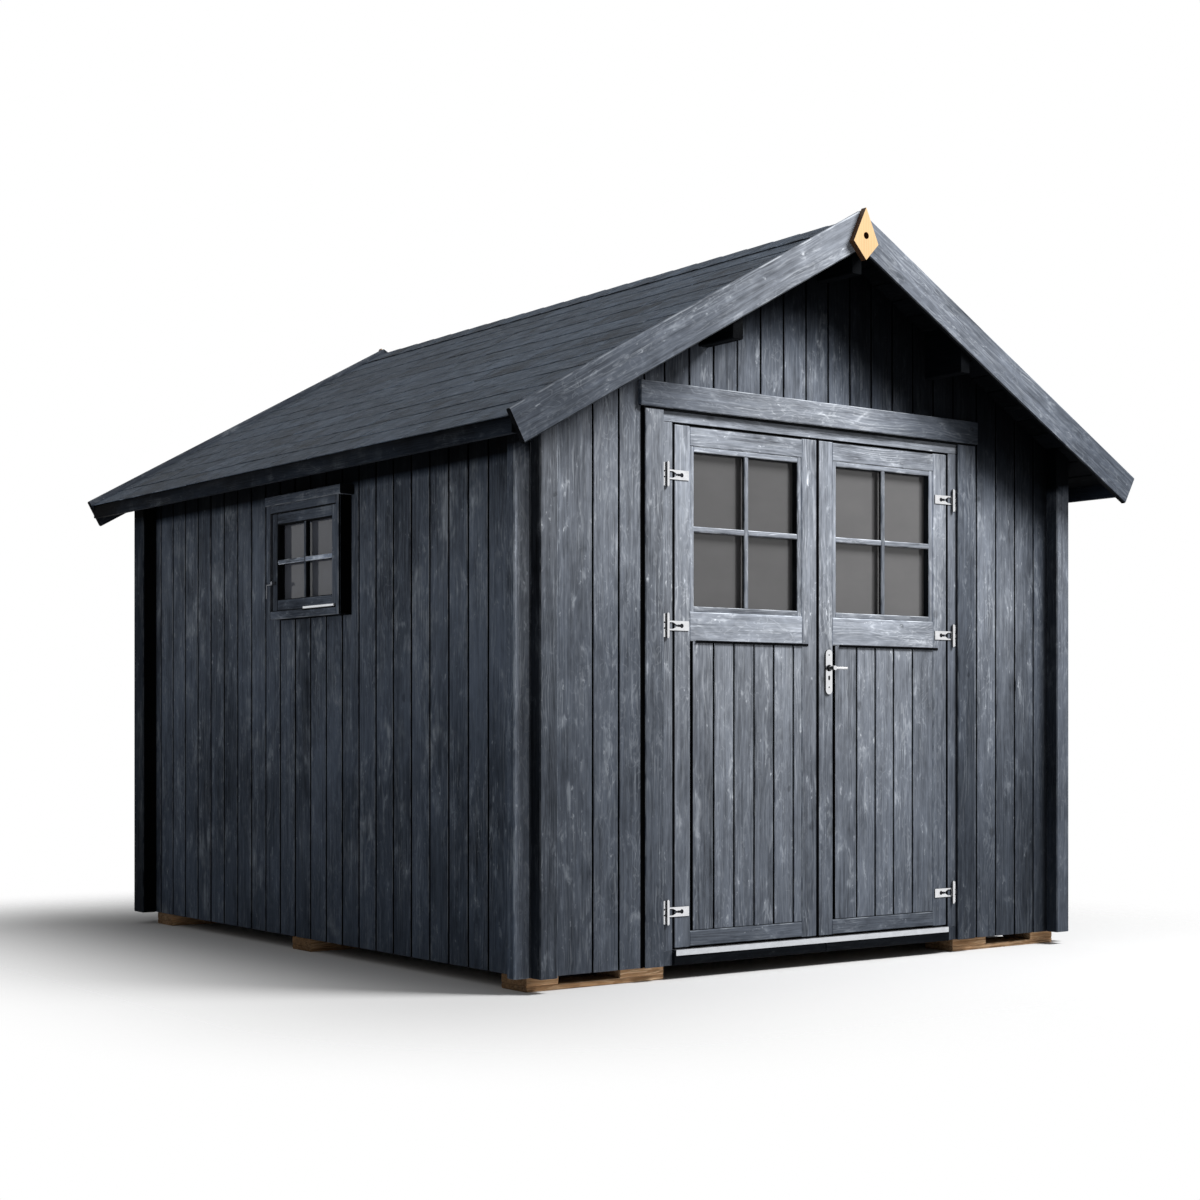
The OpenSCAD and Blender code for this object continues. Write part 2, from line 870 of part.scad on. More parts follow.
module handle_plates() {
  color(steel) at_doorway() {
    along_y(-handle_plate_t, 0) handle_plate_outline();
    along_y(leaf_t, leaf_t + handle_plate_t) handle_plate_outline();
  }
}

// Lever arms on both faces, joined by the spindle through the leaf
module lever_arm(hub_y0, hub_y1, arm_y) {
  translate([lever_x, hub_y0, lever_z]) rotate([-90, 0, 0]) cylinder(r = hub_r, h = hub_y1 - hub_y0);
  translate([lever_x, arm_y, lever_z]) rotate([0, 90, 0]) cylinder(r = lever_r, h = lever_len);
}

module door_lever() {
  color(steel) at_doorway() {
    lever_arm(-lever_reach - lever_r, -handle_plate_t / 2, -lever_reach);
    lever_arm(leaf_t + handle_plate_t / 2, leaf_t + lever_reach + lever_r, leaf_t + lever_reach);
    translate([lever_x, -lever_reach, lever_z]) rotate([-90, 0, 0])
      cylinder(r = spindle_r, h = leaf_t + 2 * lever_reach);
  }
}

// Window frame, sash and glass, set through the left wall
module window_ring(x0, x1, w, z, h, bar, side) {
  translate([0, window_mid_y, z]) along_x(x0, x1) ring_outline(w, h, bar, side);
}

module window_frame() {
  color(stain) window_ring(
    -side_x - window_proud, -inner_x + window_inner,
    window_w, window_z, window_h, window_frame_w, window_side_w
  );
}

module window_sash() {
  x = -side_x - window_proud + sash_recess;
  color(stain) window_ring(
    x, x + sash_t,
    window_glass_w + 2 * sash_w, window_sill_z - sash_w, window_glass_h + 2 * sash_w, sash_w, sash_w
  );
}

module window_glass() {
  x = -side_x - window_proud + sash_recess + min(sash_pane_set, sash_t - glass_t);
  half = window_glass_w / 2 - seat_clear;
  color("gray") block(
    [x, window_mid_y - half, window_sill_z + seat_clear],
    [x + glass_t, window_mid_y + half, window_sill_z + window_glass_h - seat_clear]
  );
}

module window_trim() {
  half = window_w / 2 + window_trim_over;
  top = window_z + window_h;
  color(stain) block(
    [-side_x - window_proud - window_trim_lip, window_mid_y - half, top],
    [-side_x, window_mid_y + half, top + window_trim_h]
  );
}

foot_planks();
foot_blocks();
floor_bearers();
floor_boards();
front_wall_left();
front_wall_right();
front_gable();
left_wall();
right_wall();
back_wall();
wall_studs();
eave_plates();
gable_corner_battens();
side_corner_battens();
purlins();
roof_boards_left();
roof_boards_right();
shingles_left();
shingles_right();
verge_boards_left();
verge_boards_right();
eave_fascias();
ridge_plates();
door_jambs();
door_head();
door_stops();
door_casings();
door_header();
door_sill();
threshold();
left_door_stiles();
left_door_rails();
left_door_panel();
left_door_beads();
left_door_glass();
right_door_stiles();
right_door_rails();
right_door_panel();
right_door_beads();
right_door_glass();
hinge_plates();
left_hinge_straps();
right_hinge_straps();
handle_plates();
door_lever();
window_frame();
window_sash();
window_glass();
window_trim();
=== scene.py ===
import bpy
import bmesh
import math
import random
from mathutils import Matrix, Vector


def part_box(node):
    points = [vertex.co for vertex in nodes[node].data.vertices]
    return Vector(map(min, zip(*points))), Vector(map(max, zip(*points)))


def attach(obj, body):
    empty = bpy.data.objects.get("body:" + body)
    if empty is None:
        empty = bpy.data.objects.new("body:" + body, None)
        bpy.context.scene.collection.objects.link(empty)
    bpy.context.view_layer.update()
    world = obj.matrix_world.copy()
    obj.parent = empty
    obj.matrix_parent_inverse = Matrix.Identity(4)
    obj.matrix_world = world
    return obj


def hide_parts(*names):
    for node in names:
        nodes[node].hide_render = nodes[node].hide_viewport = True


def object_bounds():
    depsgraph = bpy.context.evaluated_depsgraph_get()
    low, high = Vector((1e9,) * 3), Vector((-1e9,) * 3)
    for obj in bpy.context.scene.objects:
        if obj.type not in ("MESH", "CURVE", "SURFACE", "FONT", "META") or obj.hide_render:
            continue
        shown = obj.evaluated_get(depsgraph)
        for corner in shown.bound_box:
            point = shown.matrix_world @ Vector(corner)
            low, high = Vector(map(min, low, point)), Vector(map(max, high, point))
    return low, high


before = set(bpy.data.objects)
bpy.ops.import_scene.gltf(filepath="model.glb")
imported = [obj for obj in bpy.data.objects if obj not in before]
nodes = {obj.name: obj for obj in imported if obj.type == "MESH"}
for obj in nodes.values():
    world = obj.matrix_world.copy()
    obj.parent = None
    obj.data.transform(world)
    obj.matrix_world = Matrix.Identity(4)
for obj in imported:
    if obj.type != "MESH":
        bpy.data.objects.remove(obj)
cadLow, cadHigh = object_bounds()
draw = random.Random(41)

roof = {"ridge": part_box("purlins")[1].z}  # the ridge purlin's top is the peak of the walls
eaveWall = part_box("left_wall")[1]  # the inner top edge of a side wall lies on the slope
roof["tan"] = (roof["ridge"] - eaveWall.z) / -eaveWall.x
roof["cos"] = math.cos(math.atan(roof["tan"]))
roof["sin"] = math.sin(math.atan(roof["tan"]))


def slopeZ(x, up=0.0):  # height of the roof's slope, or of a plane that lies up above it
    return roof["ridge"] - abs(x) * roof["tan"] + up / roof["cos"]


def clamp(value, low, high):
    return max(low, min(high, value))


def ease(value, stops):  # straight lines between (place, result) stops
    for (a, ra), (b, rb) in zip(stops, stops[1:]):
        if value <= b:
            return ra + (rb - ra) * clamp((value - a) / (b - a), 0, 1)
    return stops[-1][1]


# Shader maths: a wrapped socket, and one maker of nodes for each finish
class Value:
    def __init__(self, finish, socket):
        self.finish = finish
        self.socket = socket

    def math(self, operation, *terms):
        return self.finish.node("ShaderNodeMath", {"operation": operation}, dict(enumerate(terms)))

    def __add__(self, other):
        return self.math("ADD", self, other)

    def __radd__(self, other):
        return self.math("ADD", other, self)

    def __sub__(self, other):
        return self.math("SUBTRACT", self, other)

    def __rsub__(self, other):
        return self.math("SUBTRACT", other, self)

    def __mul__(self, other):
        return self.math("MULTIPLY", self, other)

    def __rmul__(self, other):
        return self.math("MULTIPLY", other, self)

    def __truediv__(self, other):
        return self.math("DIVIDE", self, other)

    def __rtruediv__(self, other):
        return self.math("DIVIDE", other, self)

    def most(self, other):
        return self.math("MAXIMUM", self, other)

    def least(self, other):
        return self.math("MINIMUM", self, other)

    def size(self):
        return self.math("ABSOLUTE", self)


class Finish:
    def __init__(self, tree):
        self.tree = tree
        tree.nodes.clear()

    def feed(self, socket, value):
        if isinstance(value, Value):
            self.tree.links.new(value.socket, socket)
        else:
            socket.default_value = value

    def node(self, kind, settings=None, sockets=None, output=0):
        made = self.tree.nodes.new(kind)
        for key, value in (settings or {}).items():
            setattr(made, key, value)
        for key, value in (sockets or {}).items():
            self.feed(made.inputs[key], value)
        return Value(self, made.outputs[output]) if made.outputs else None

    def attribute(self, name, output):
        return self.node("ShaderNodeAttribute", {"attribute_name": name}, output=output)

    def parts(self, vector):
        first = self.node("ShaderNodeSeparateXYZ", sockets={0: vector})
        outputs = first.socket.node.outputs
        return [Value(self, socket) for socket in outputs]

    def vector(self, operation, a, b, output=0):
        return self.node("ShaderNodeVectorMath", {"operation": operation}, {0: a, 1: b}, output)

    def scaled(self, vector, amount):
        return self.node("ShaderNodeVectorMath", {"operation": "SCALE"}, {0: vector, "Scale": amount})

    def between(self, value, low, high):
        return self.node("ShaderNodeMapRange", {"interpolation_type": "SMOOTHSTEP"},
                         {0: value, 1: low, 2: high, 3: 0.0, 4: 1.0})

    def noise(self, vector, stretch, detail=2.0, rough=0.5, curl=0.0):
        return self.node("ShaderNodeTexNoise", {"noise_dimensions": "3D"},
                         {"Vector": self.vector("MULTIPLY", vector, stretch), "Scale": 1.0,
                          "Detail": detail, "Roughness": rough, "Distortion": curl})

    def mixed(self, factor, a, b, mode="MIX"):
        return self.node("ShaderNodeMix", {"data_type": "RGBA", "blend_type": mode},
                         {0: factor, 6: a, 7: b}, 2)

    def bump(self, height, strength, distance):
        return self.node("ShaderNodeBump", {},
                         {"Strength": strength, "Distance": distance, "Height": height})

    def surface(self, sockets):
        shader = self.node("ShaderNodeBsdfPrincipled", {}, sockets)
        self.node("ShaderNodeOutputMaterial", {}, {"Surface": shader})


def newFinish(name):
    material = bpy.data.materials.new(name)
    material.use_nodes = True
    return material, Finish(material.node_tree)


def ink(red, green, blue):
    return (red, green, blue, 1.0)


# Timber finishes. The boards carry their own grain coordinates: along, across and through the board.
figure = {  # how fine each pattern is in those directions, in cells a metre
    "wobble": 45.0, "wander": (1.7, 5.0, 5.0), "jitter": (9.0, 60.0, 60.0), "streak": (2.3, 75.0, 75.0),
    "fibre": (13.0, 420.0, 420.0), "thread": (5.0, 170.0, 170.0), "blotch": (2.2, 11.0, 11.0),
    "mottle": (16.0, 48.0, 48.0), "smudge": (7.0, 17.0, 17.0), "cloud": (1.7, 1.7, 1.3),
    "smoke": (5.2, 5.2, 3.4), "patch": (3.4, 15.0, 15.0), "curl": (9.0, 25.0, 25.0),
    "figured": (1.8, 6.0, 6.0), "chip": (30.0, 62.0, 62.0), "rub": (14.0, 60.0, 60.0),
}


def timberFinish(name, look):
    material, f = newFinish(name)
    grain = f.attribute("grain", 1)
    chance, edge, shade = f.parts(f.attribute("boardLook", 1))
    tone = f.attribute("tone", 2)

    # Knots sit in cells stretched along the board, and the growth rings flow round them
    cellSize = look["knotCells"]
    cells = f.vector("MULTIPLY", grain, (cellSize[0], cellSize[1], 0.0))
    cell = f.node("ShaderNodeTexVoronoi", {"voronoi_dimensions": "3D", "feature": "F1"},
                  {"Vector": cells, "Scale": 1.0})
    outputs = cell.socket.node.outputs
    offset = f.vector("SUBTRACT", cells, Value(f, outputs["Position"]))
    offset = f.vector("DIVIDE", offset, (cellSize[0], cellSize[1], 1.0))
    wobble = f.scaled(grain, figure["wobble"])
    wobble = f.node("ShaderNodeTexNoise", {}, {"Vector": wobble, "Scale": 1.0}, 1)
    wobble = f.scaled(f.vector("SUBTRACT", wobble, (0.5, 0.5, 0.5)), look["knotWobble"])
    offset = f.vector("ADD", offset, wobble)
    knotChance, knotDark = f.parts(Value(f, outputs["Color"]))[:2]
    hasKnot = f.between(knotChance, 1 - look["knotShare"], 1 - look["knotShare"] + 0.02)
    near = f.vector("LENGTH", f.vector("MULTIPLY", offset, (0.7, 1.0, 0.0)), (0, 0, 0), 1)
    flow = f.vector("LENGTH", f.vector("MULTIPLY", offset, (0.22, 1.0, 0.0)), (0, 0, 0), 1)
    size = look["knotSize"] * (0.5 + knotDark)
    core = (1 - f.between(near / size, 0.35, 1.0)) * hasKnot
    swell = (1 - f.between(flow, 0.0, look["knotSize"] * 4.5)) * hasKnot

    # Growth rings are cut through by the board's face
    wander = f.noise(grain, figure["wander"], 2.0)
    flat = f.vector("LENGTH", f.vector("MULTIPLY", grain, (0.0, 1.0, 1.0)), (0, 0, 0), 1)
    jitter = f.noise(grain, figure["jitter"], 3.0, 0.6)
    rings = (flat + wander * look["wander"] + swell * 0.03 + jitter * look["jitter"]) / look["ring"]
    turn = rings.math("FRACT", rings)
    line = f.between(turn, 0.40, 0.86) * (1 - f.between(turn, 0.9, 1.0))

    streak = f.noise(grain, figure["streak"], 3.0, 0.6)
    fibre = f.noise(grain, figure["fibre"], 2.0, 0.6)
    thread = f.noise(grain, figure["thread"], 2.0, 0.6)
    blotch = f.noise(grain, figure["blotch"], 3.0, 0.6)
    mottle = f.noise(grain, figure["mottle"], 3.0, 0.6, 0.8)
    smudge = f.noise(grain, figure["smudge"], 3.0, 0.62, 0.6)
    across = f.parts(f.node("ShaderNodeTexCoord", output=1))[0]
    sideways = f.between(across.size(), 0.5, 0.9)  # the side walls are less even and bluer
    spread = f.node("ShaderNodeTexCoord", output=3)  # wear that runs over several boards
    cloud = f.noise(spread, figure["cloud"], 3.0, 0.6)
    smoke = f.between(f.noise(spread, figure["smoke"], 4.0, 0.7), 0.52, 0.72)

    # Worn places: broken rings, curled figure, scuffs and chips, gathered in patches
    patch = f.between(f.noise(grain, figure["patch"], 3.0, 0.6), *look["patch"])
    curl = f.noise(grain, figure["curl"], 1.5, 0.5, 1.7) * 3.6
    crest = 1 - f.between(curl.math("PINGPONG", curl, 0.5), 0.04, 0.16)
    figured = f.between(f.noise(grain, figure["figured"], 2.0) + 0.3 * (chance - 0.5), 0.44, 0.6)
    figured = figured * 0.6 + patch * 0.4
    scuff = f.between(smudge, 0.56, 0.72) * f.between(mottle, 0.42, 0.62)
    chip = f.between(f.noise(grain, figure["chip"], 3.0, 0.65), 0.61, 0.73) * f.between(smudge, 0.47, 0.62)
    worn = line * (0.22 + 0.6 * patch) * f.between(thread, 0.3, 0.62) * look["lines"]
    worn = worn + crest * figured * f.between(thread, 0.25, 0.6) * look["scrapes"]
    worn = worn + scuff * look["scuffs"] + chip * look["chips"]
    smoked = look["smoke"] + look["sideSmoke"] * sideways
    worn = worn + smoke * f.between(thread + smudge, 0.7, 1.3) * smoked
    rubbed = edge * f.between(f.noise(grain, figure["rub"], 2.0), 0.40, 0.62) * look["rub"]
    worn = worn.least(1.0).most(rubbed)

    depth = (1.0 + look["streak"] * (streak - 0.5) + look["fibre"] * (fibre + thread - 1.0)
             + look["blotch"] * (blotch - 0.5) + look["mottle"] * (mottle - 0.5)
             + look["smudge"] * (smudge - 0.5)
             + (look["cloud"] + look["sideCloud"] * sideways) * (cloud - 0.5)
             + look["boards"] * (chance - 0.5))
    colour = f.scaled(look["base"], depth.most(look["darkest"]))
    colour = f.mixed(worn, colour, ink(*look["pale"]))
    colour = f.mixed(core * look["knotDepth"], colour, ink(*look["knot"]))
    # tone brings painted light and shade from the tables besides the board's own tone; shade paints shade on
    # faces in joints, gaps, reveals and undersides
    colour = f.scaled(colour, tone * shade)
    kept = 1.25 + look["sideBlue"] * sideways - look["fade"] * tone.least(2.2)
    faded = f.node("ShaderNodeHueSaturation", {}, {"Saturation": kept, "Color": colour})
    bare = f.between(0 - shade, 0.2, 0.4)  # a shade below zero marks faces that were never stained
    faded = f.mixed(bare, faded, f.scaled(look["bare"], depth))
    rough = look["rough"] + 0.22 * (streak - 0.5) + 0.14 * (1 - patch) - 0.12 * worn
    height = fibre * 0.5 + streak * 0.5 + worn * 0.4 + mottle * 0.3 - core * 0.6
    f.surface({"Base Color": faded, "Roughness": rough, "Specular IOR Level": look["gloss"],
               "Normal": f.bump(height, look["relief"], 0.002)})
    return material


stainLook = {
    "base": (0.086, 0.099, 0.123), "pale": (0.34, 0.37, 0.41), "knot": (0.018, 0.020, 0.024),
    "bare": (0.33, 0.235, 0.15),
    "ring": 0.0075, "wander": 0.09, "jitter": 0.009, "knotCells": (1.6, 7.0), "knotShare": 0.14,
    "knotSize": 0.013, "knotDepth": 0.45, "knotWobble": 0.016, "streak": 1.0, "fibre": 0.7, "blotch": 0.9,
    "mottle": 0.7, "boards": 0.34, "smudge": 0.9, "cloud": 0.3, "sideCloud": 2.0, "darkest": 0.12,
    "smoke": 0.08, "sideSmoke": 0.7, "patch": (0.48, 0.66), "lines": 0.42, "scrapes": 0.26, "scuffs": 0.46,
    "chips": 0.72, "rub": 0.5, "fade": 0.27, "sideBlue": 0.45, "rough": 0.62, "gloss": 0.02, "relief": 0.5,
}
sawnLook = dict(stainLook, base=(0.31, 0.195, 0.118), pale=(0.70, 0.53, 0.37), knot=(0.08, 0.04, 0.02),
                ring=0.006, lines=1.6, scrapes=0.2, scuffs=0.2, chips=0.2, boards=0.5, streak=1.8,
                blotch=1.3, fade=0.1, sideBlue=0.0, rough=0.8, relief=0.7)
roomLook = dict(sawnLook, base=(0.46, 0.33, 0.21), pale=(0.62, 0.48, 0.33), streak=1.0, relief=0.3)
stainFinish = timberFinish("stained_timber", stainLook)
sawnFinish = timberFinish("sawn_timber", sawnLook)
roomFinish = timberFinish("room_timber", roomLook)


def pineFinish():  # the kite plates: planed faces, with edges and hole painted dark as shade
    look = {"base": (0.66, 0.434, 0.208), "pale": (0.75, 0.53, 0.28), "edge": (0.085, 0.038, 0.016)}
    material, f = newFinish("planed_pine")
    place = f.node("ShaderNodeTexCoord", output=3)
    facing = f.parts(f.node("ShaderNodeNewGeometry", output="Normal"))[1]
    face = f.between(facing.size(), 0.35, 0.8)
    rings = f.node("ShaderNodeTexWave", {"wave_type": "BANDS", "bands_direction": "X"},
                   {"Vector": f.vector("MULTIPLY", place, (1.0, 1.0, 0.16)), "Scale": 26.0,
                    "Distortion": 5.0, "Detail": 2.0, "Detail Scale": 1.4})
    fibre = f.noise(place, (420.0, 420.0, 18.0), 2.0)
    soft = f.noise(place, (30.0, 30.0, 12.0), 2.0)
    colour = f.scaled(look["base"], 1.0 + 0.16 * (fibre - 0.5) + 0.2 * (soft - 0.5))
    colour = f.mixed(rings * 0.45, colour, ink(*look["pale"]))
    colour = f.mixed(face, ink(*look["edge"]), colour)
    f.surface({"Base Color": colour, "Roughness": 0.5 + 0.2 * (fibre - 0.5), "Specular IOR Level": 0.25,
               "Normal": f.bump(fibre + rings * 0.3, 0.15, 0.001)})
    return material


kiteFinish = pineFinish()
print("timber finishes made")


def feltFinish():  # mineral granules, streaked and clouded by the weather
    look = {"base": (0.052, 0.067, 0.090), "pale": (0.16, 0.185, 0.22), "dark": (0.014, 0.017, 0.023),
            "grit": 0.6, "dust": 0.6, "cloud": 0.9, "tabs": 0.45, "scour": 2.6, "darkest": 0.2}
    material, f = newFinish("shingle_granules")
    grain = f.attribute("grain", 1)
    chance, edge, shade = f.parts(f.attribute("boardLook", 1))
    tone = f.attribute("tone", 2)
    grit = f.noise(grain, (300.0, 420.0, 420.0), 1.0)
    dust = f.noise(grain, (70.0, 150.0, 150.0), 2.0, 0.6)
    cloud = f.noise(grain, (2.2, 5.0, 4.0), 3.0, 0.6)
    dash = f.noise(grain, (11.0, 85.0, 20.0), 2.0, 0.55)
    scour = f.noise(grain, (10.0, 10.0, 8.0), 3.0, 0.7)
    depth = (1.0 + look["grit"] * (grit - 0.5) + look["dust"] * (dust - 0.5)
             + look["cloud"] * (cloud - 0.5) + look["tabs"] * (chance - 0.5)
             + look["scour"] * (scour - 0.5))
    colour = f.scaled(look["base"], depth.most(look["darkest"]))
    colour = f.mixed(f.between(grit, 0.62, 0.75) * 0.5, colour, ink(*look["pale"]))
    colour = f.mixed(f.between(dust, 0.56, 0.7) * 0.4, colour, ink(*look["dark"]))
    colour = f.mixed(f.between(dash, 0.56, 0.68) * 0.75, colour, ink(*look["dark"]))
    colour = f.mixed(f.between(dash, 0.44, 0.32) * 0.45, colour, ink(*look["pale"]))
    # edge darkens the feet of the tabs as painted shade, and shade lightens some of them as painted light
    colour = f.scaled(f.mixed(edge * f.between(dash, 0.4, 0.56), colour, ink(*look["dark"])), tone * shade)
    f.surface({"Base Color": colour, "Roughness": 0.8 + 0.3 * (dust - 0.5), "Specular IOR Level": 0.12,
               "Normal": f.bump(grit * 0.6 + dust * 0.6, 0.5, 0.0015)})
    return material


def metalFinish(name, colour, rough, stretch, sideShade):
    material, f = newFinish(name)
    place = f.node("ShaderNodeTexCoord", output=3)
    facing = f.parts(f.node("ShaderNodeTexCoord", output=1))[1]  # out of the leaf's face, in its own frame
    face = f.between(facing.size(), 0.25, 0.85)
    brush = f.noise(place, stretch, 3.0, 0.65)
    smear = f.noise(place, (40.0, 40.0, 40.0), 3.0)
    spots = f.between(f.noise(place, (260.0, 260.0, 260.0), 2.0), 0.62, 0.72)
    tint = f.scaled(colour, 0.94 + 0.16 * (brush - 0.5) + 0.22 * (smear - 0.5))
    tint = f.mixed(spots * 0.35, tint, ink(*(part * 0.62 for part in colour)))
    # faces that turn away from the front are darkened as painted shade
    tint = f.scaled(tint, sideShade + (1 - sideShade) * face)
    f.surface({"Base Color": tint, "Metallic": 1.0,
               "Roughness": rough + 0.25 * (smear - 0.5) + 0.2 * (brush - 0.5) + spots * 0.15,
               "Normal": f.bump(brush, 0.08, 0.0005)})
    return material


def paneFinish(name, ior, tint, clear):  # panes: partly clear, partly grey, with a haze and dust in the roughness
    material, f = newFinish(name)
    place = f.node("ShaderNodeTexCoord", output=3)
    haze = f.noise(place, (5.0, 5.0, 9.0), 3.0, 0.6)
    dust = f.noise(place, (160.0, 160.0, 160.0), 2.0)
    f.surface({"Base Color": f.scaled(tint, 0.9 + 0.3 * (haze - 0.5)), "IOR": ior,
               "Roughness": 0.003 + 0.012 * haze + 0.006 * dust, "Transmission Weight": clear})
    return material


metals = {  # colour, roughness, how fine the brushing is along each axis, painted shade of the sides
    "zinc_steel": ((0.80, 0.81, 0.83), 0.24, (60.0, 60.0, 700.0), 0.07),
    "bare_aluminium": ((0.66, 0.68, 0.71), 0.36, (8.0, 500.0, 500.0), 1.0),
    "dull_zinc": ((0.16, 0.17, 0.19), 0.4, (60.0, 60.0, 60.0), 1.0),
    "blacked_steel_and_shade": ((0.022, 0.023, 0.027), 0.5, (60.0, 60.0, 60.0), 1.0),
}
panes = {  # index of refraction, grey, how clear; the right door's pane has a lighter grey as painted light
    "left_door_pane": (1.5, (0.215, 0.212, 0.216), 0.5),
    "right_door_pane": (1.5, (0.262, 0.258, 0.262), 0.5),
    "side_pane": (1.30, (0.29, 0.31, 0.365), 0.35),
}
shingleFelt = feltFinish()
steelFinish, stripFinish, dullFinish, blackAndShadeFinish = (
    metalFinish(name, *look) for name, look in metals.items())
leftPane, rightPane, sidePane = (paneFinish(name, *look) for name, look in panes.items())
print("roofing, metal and glass finishes made")


def steady(value):  # a plain number stands for a function that always gives it
    return value if callable(value) else (lambda *spot: value)


# Timber meshes: prisms with their edges planed off, which carry grain, tone with painted light and shade,
# wear and painted shade of single faces for the finishes
endWear = {"edge": 0.6, "face": 0.1}


class Timbers:
    def __init__(self, name):
        self.name = name
        self.points = []
        self.faces = []
        self.grain = []
        self.tone = []
        self.look = []

    def prism(self, section, marks, place, low, high, tone=1.0, cut=0.0015, step=0.3, chance=None,
              start=None, shades=None, ends=(1.0, 1.0), bands=()):
        lowAt, highAt, toneAt = steady(low), steady(high), steady(tone)
        shades = shades or [1.0] * len(section)
        chance = draw.random() if chance is None else chance
        start = start or grainStart()
        midP = sum(p for p, q in section) / len(section)
        midQ = sum(q for p, q in section) / len(section)
        inner = [(p + clamp(midP - p, -cut, cut), q + clamp(midQ - q, -cut, cut)) for p, q in section]
        reach = highAt(midP, midQ) - lowAt(midP, midQ)
        parts = max(1, round(reach / step))
        shares = {i / parts for i in range(parts + 1)}
        shares |= {(band - lowAt(midP, midQ)) / reach for band in bands}  # where the tone turns sharply
        rings = [(inner, 0.0, 0.0)]
        rings += [(section, share, cut * (1 - 2 * share)) for share in sorted(shares) if 0 <= share <= 1]
        rings += [(inner, 1.0, 0.0)]
        first = len(self.points)
        count = len(section)
        for ring, share, shift in rings:
            for p, q in ring:
                a = lowAt(p, q) * (1 - share) + highAt(p, q) * share + shift
                spot = place(p, q, a)
                self.points.append(spot)
                self.grain.append((a + start[0], p - midP + start[1], q - midQ + start[2]))
                self.tone.append(toneAt(*spot))
        for r in range(len(rings) - 1):
            atEnd = {0: ends[0], len(rings) - 2: ends[1]}.get(r)
            for i in range(count):
                j = (i + 1) % count
                here = first + r * count
                self.faces.append((here + i, here + j, here + count + j, here + count + i))
                side = (chance, marks[i], shades[i])
                self.look.append(side if atEnd is None else (chance, endWear["edge"], shades[i] * atEnd))
        last = first + (len(rings) - 1) * count
        self.faces.append(tuple(first + i for i in range(count)))
        self.faces.append(tuple(last + i for i in range(count)))
        self.look += [(chance, endWear["face"], end) for end in ends]

    def hoop(self, x, z, inner, outer, y0, y1, turns=24):  # a washer that faces the front
        first = len(self.points)
        for i in range(turns):
            turn = math.tau * i / turns
            for r, y in ((inner, y0), (outer, y0), (outer, y1), (inner, y1)):
                self.points.append((x + r * math.cos(turn), y, z + r * math.sin(turn)))
                self.grain.append((turn * r, r, y))
                self.tone.append(1.0)
        for i in range(turns):
            here, there = first + 4 * i, first + 4 * ((i + 1) % turns)
            for a in range(4):
                b = (a + 1) % 4
                self.faces.append((here + a, here + b, there + b, there + a))
                self.look.append((0.5, 0.0, 1.0))

    def build(self, material, body, slot, *stoodFor):
        mesh = bpy.data.meshes.new(self.name)
        mesh.from_pydata(self.points, [], self.faces)
        grain = mesh.attributes.new("grain", "FLOAT_VECTOR", "POINT")
        grain.data.foreach_set("vector", [v for spot in self.grain for v in spot])
        tone = mesh.attributes.new("tone", "FLOAT", "POINT")
        tone.data.foreach_set("value", self.tone)
        look = mesh.attributes.new("boardLook", "FLOAT_VECTOR", "FACE")
        look.data.foreach_set("vector", [v for marks in self.look for v in marks])
        work = bmesh.new()
        work.from_mesh(mesh)
        bmesh.ops.recalc_face_normals(work, faces=work.faces)
        work.to_mesh(mesh)
        work.free()
        mesh.materials.append(material)
        piece = bpy.data.objects.new(self.name, mesh)
        bpy.context.scene.collection.objects.link(piece)
        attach(piece, body)
        if stoodFor:
            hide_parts(*stoodFor)
        print("made", self.name, "with", len(self.faces), "faces")
        return piece


def grainStart():  # where in the log a board was cut: place along it, then off the middle
    return (draw.uniform(0, 60), draw.uniform(-0.045, 0.045), draw.uniform(0.02, 0.11))


def chamfered(p0, p1, q0, q1, cut):
    section = [(p0 + cut, q0), (p1 - cut, q0), (p1, q0 + cut), (p1, q1 - cut),
               (p1 - cut, q1), (p0 + cut, q1), (p0, q1 - cut), (p0, q0 + cut)]
    return section, [0, 1, 0, 1, 0, 1, 0, 1]


# Sides of a chamfered section: 0 front, 2 right, 4 back and 6 left of an upright, 0 front, 2 top, 4 back and
# 6 under along x, 0 under, 2 right, 4 top and 6 left along y. The odd ones are the chamfers between them.
# shadedSides paints shade on the given sides, where they face into gaps and reveals or lie under things
def shadedSides(*sides, tone=0.05):
    return [tone if i in sides else 1.0 for i in range(8)]


alongWays = {  # section axes first, then the length
    "x": (lambda p, q, a: (a, q, p), 2, 1, 0),
    "y": (lambda p, q, a: (p, a, q), 0, 2, 1),
    "z": (lambda p, q, a: (p, q, a), 0, 1, 2),
}


def timber(store, low, high, along, tone=1.0, cut=0.0025, endCut=None, **more):
    place, p, q, a = alongWays[along]
    section, marks = chamfered(low[p], high[p], low[q], high[q], cut)
    endCut = cut * 0.7 if endCut is None else endCut  # ends are planed off a little less than edges
    store.prism(section, marks, place, low[a], high[a], tone, cut=endCut, **more)


def roundSection(p, q, radius, sides=12):
    turns = [math.tau * i / sides for i in range(sides)]
    return [(p + radius * math.cos(turn), q + radius * math.sin(turn)) for turn in turns]


def peg(store, x, z, radius, y0, y1):  # a round head that faces the front
    section = roundSection(x, z, radius)
    store.prism(section, [0] * len(section), alongWays["y"][0], y0, y1, cut=radius * 0.15)


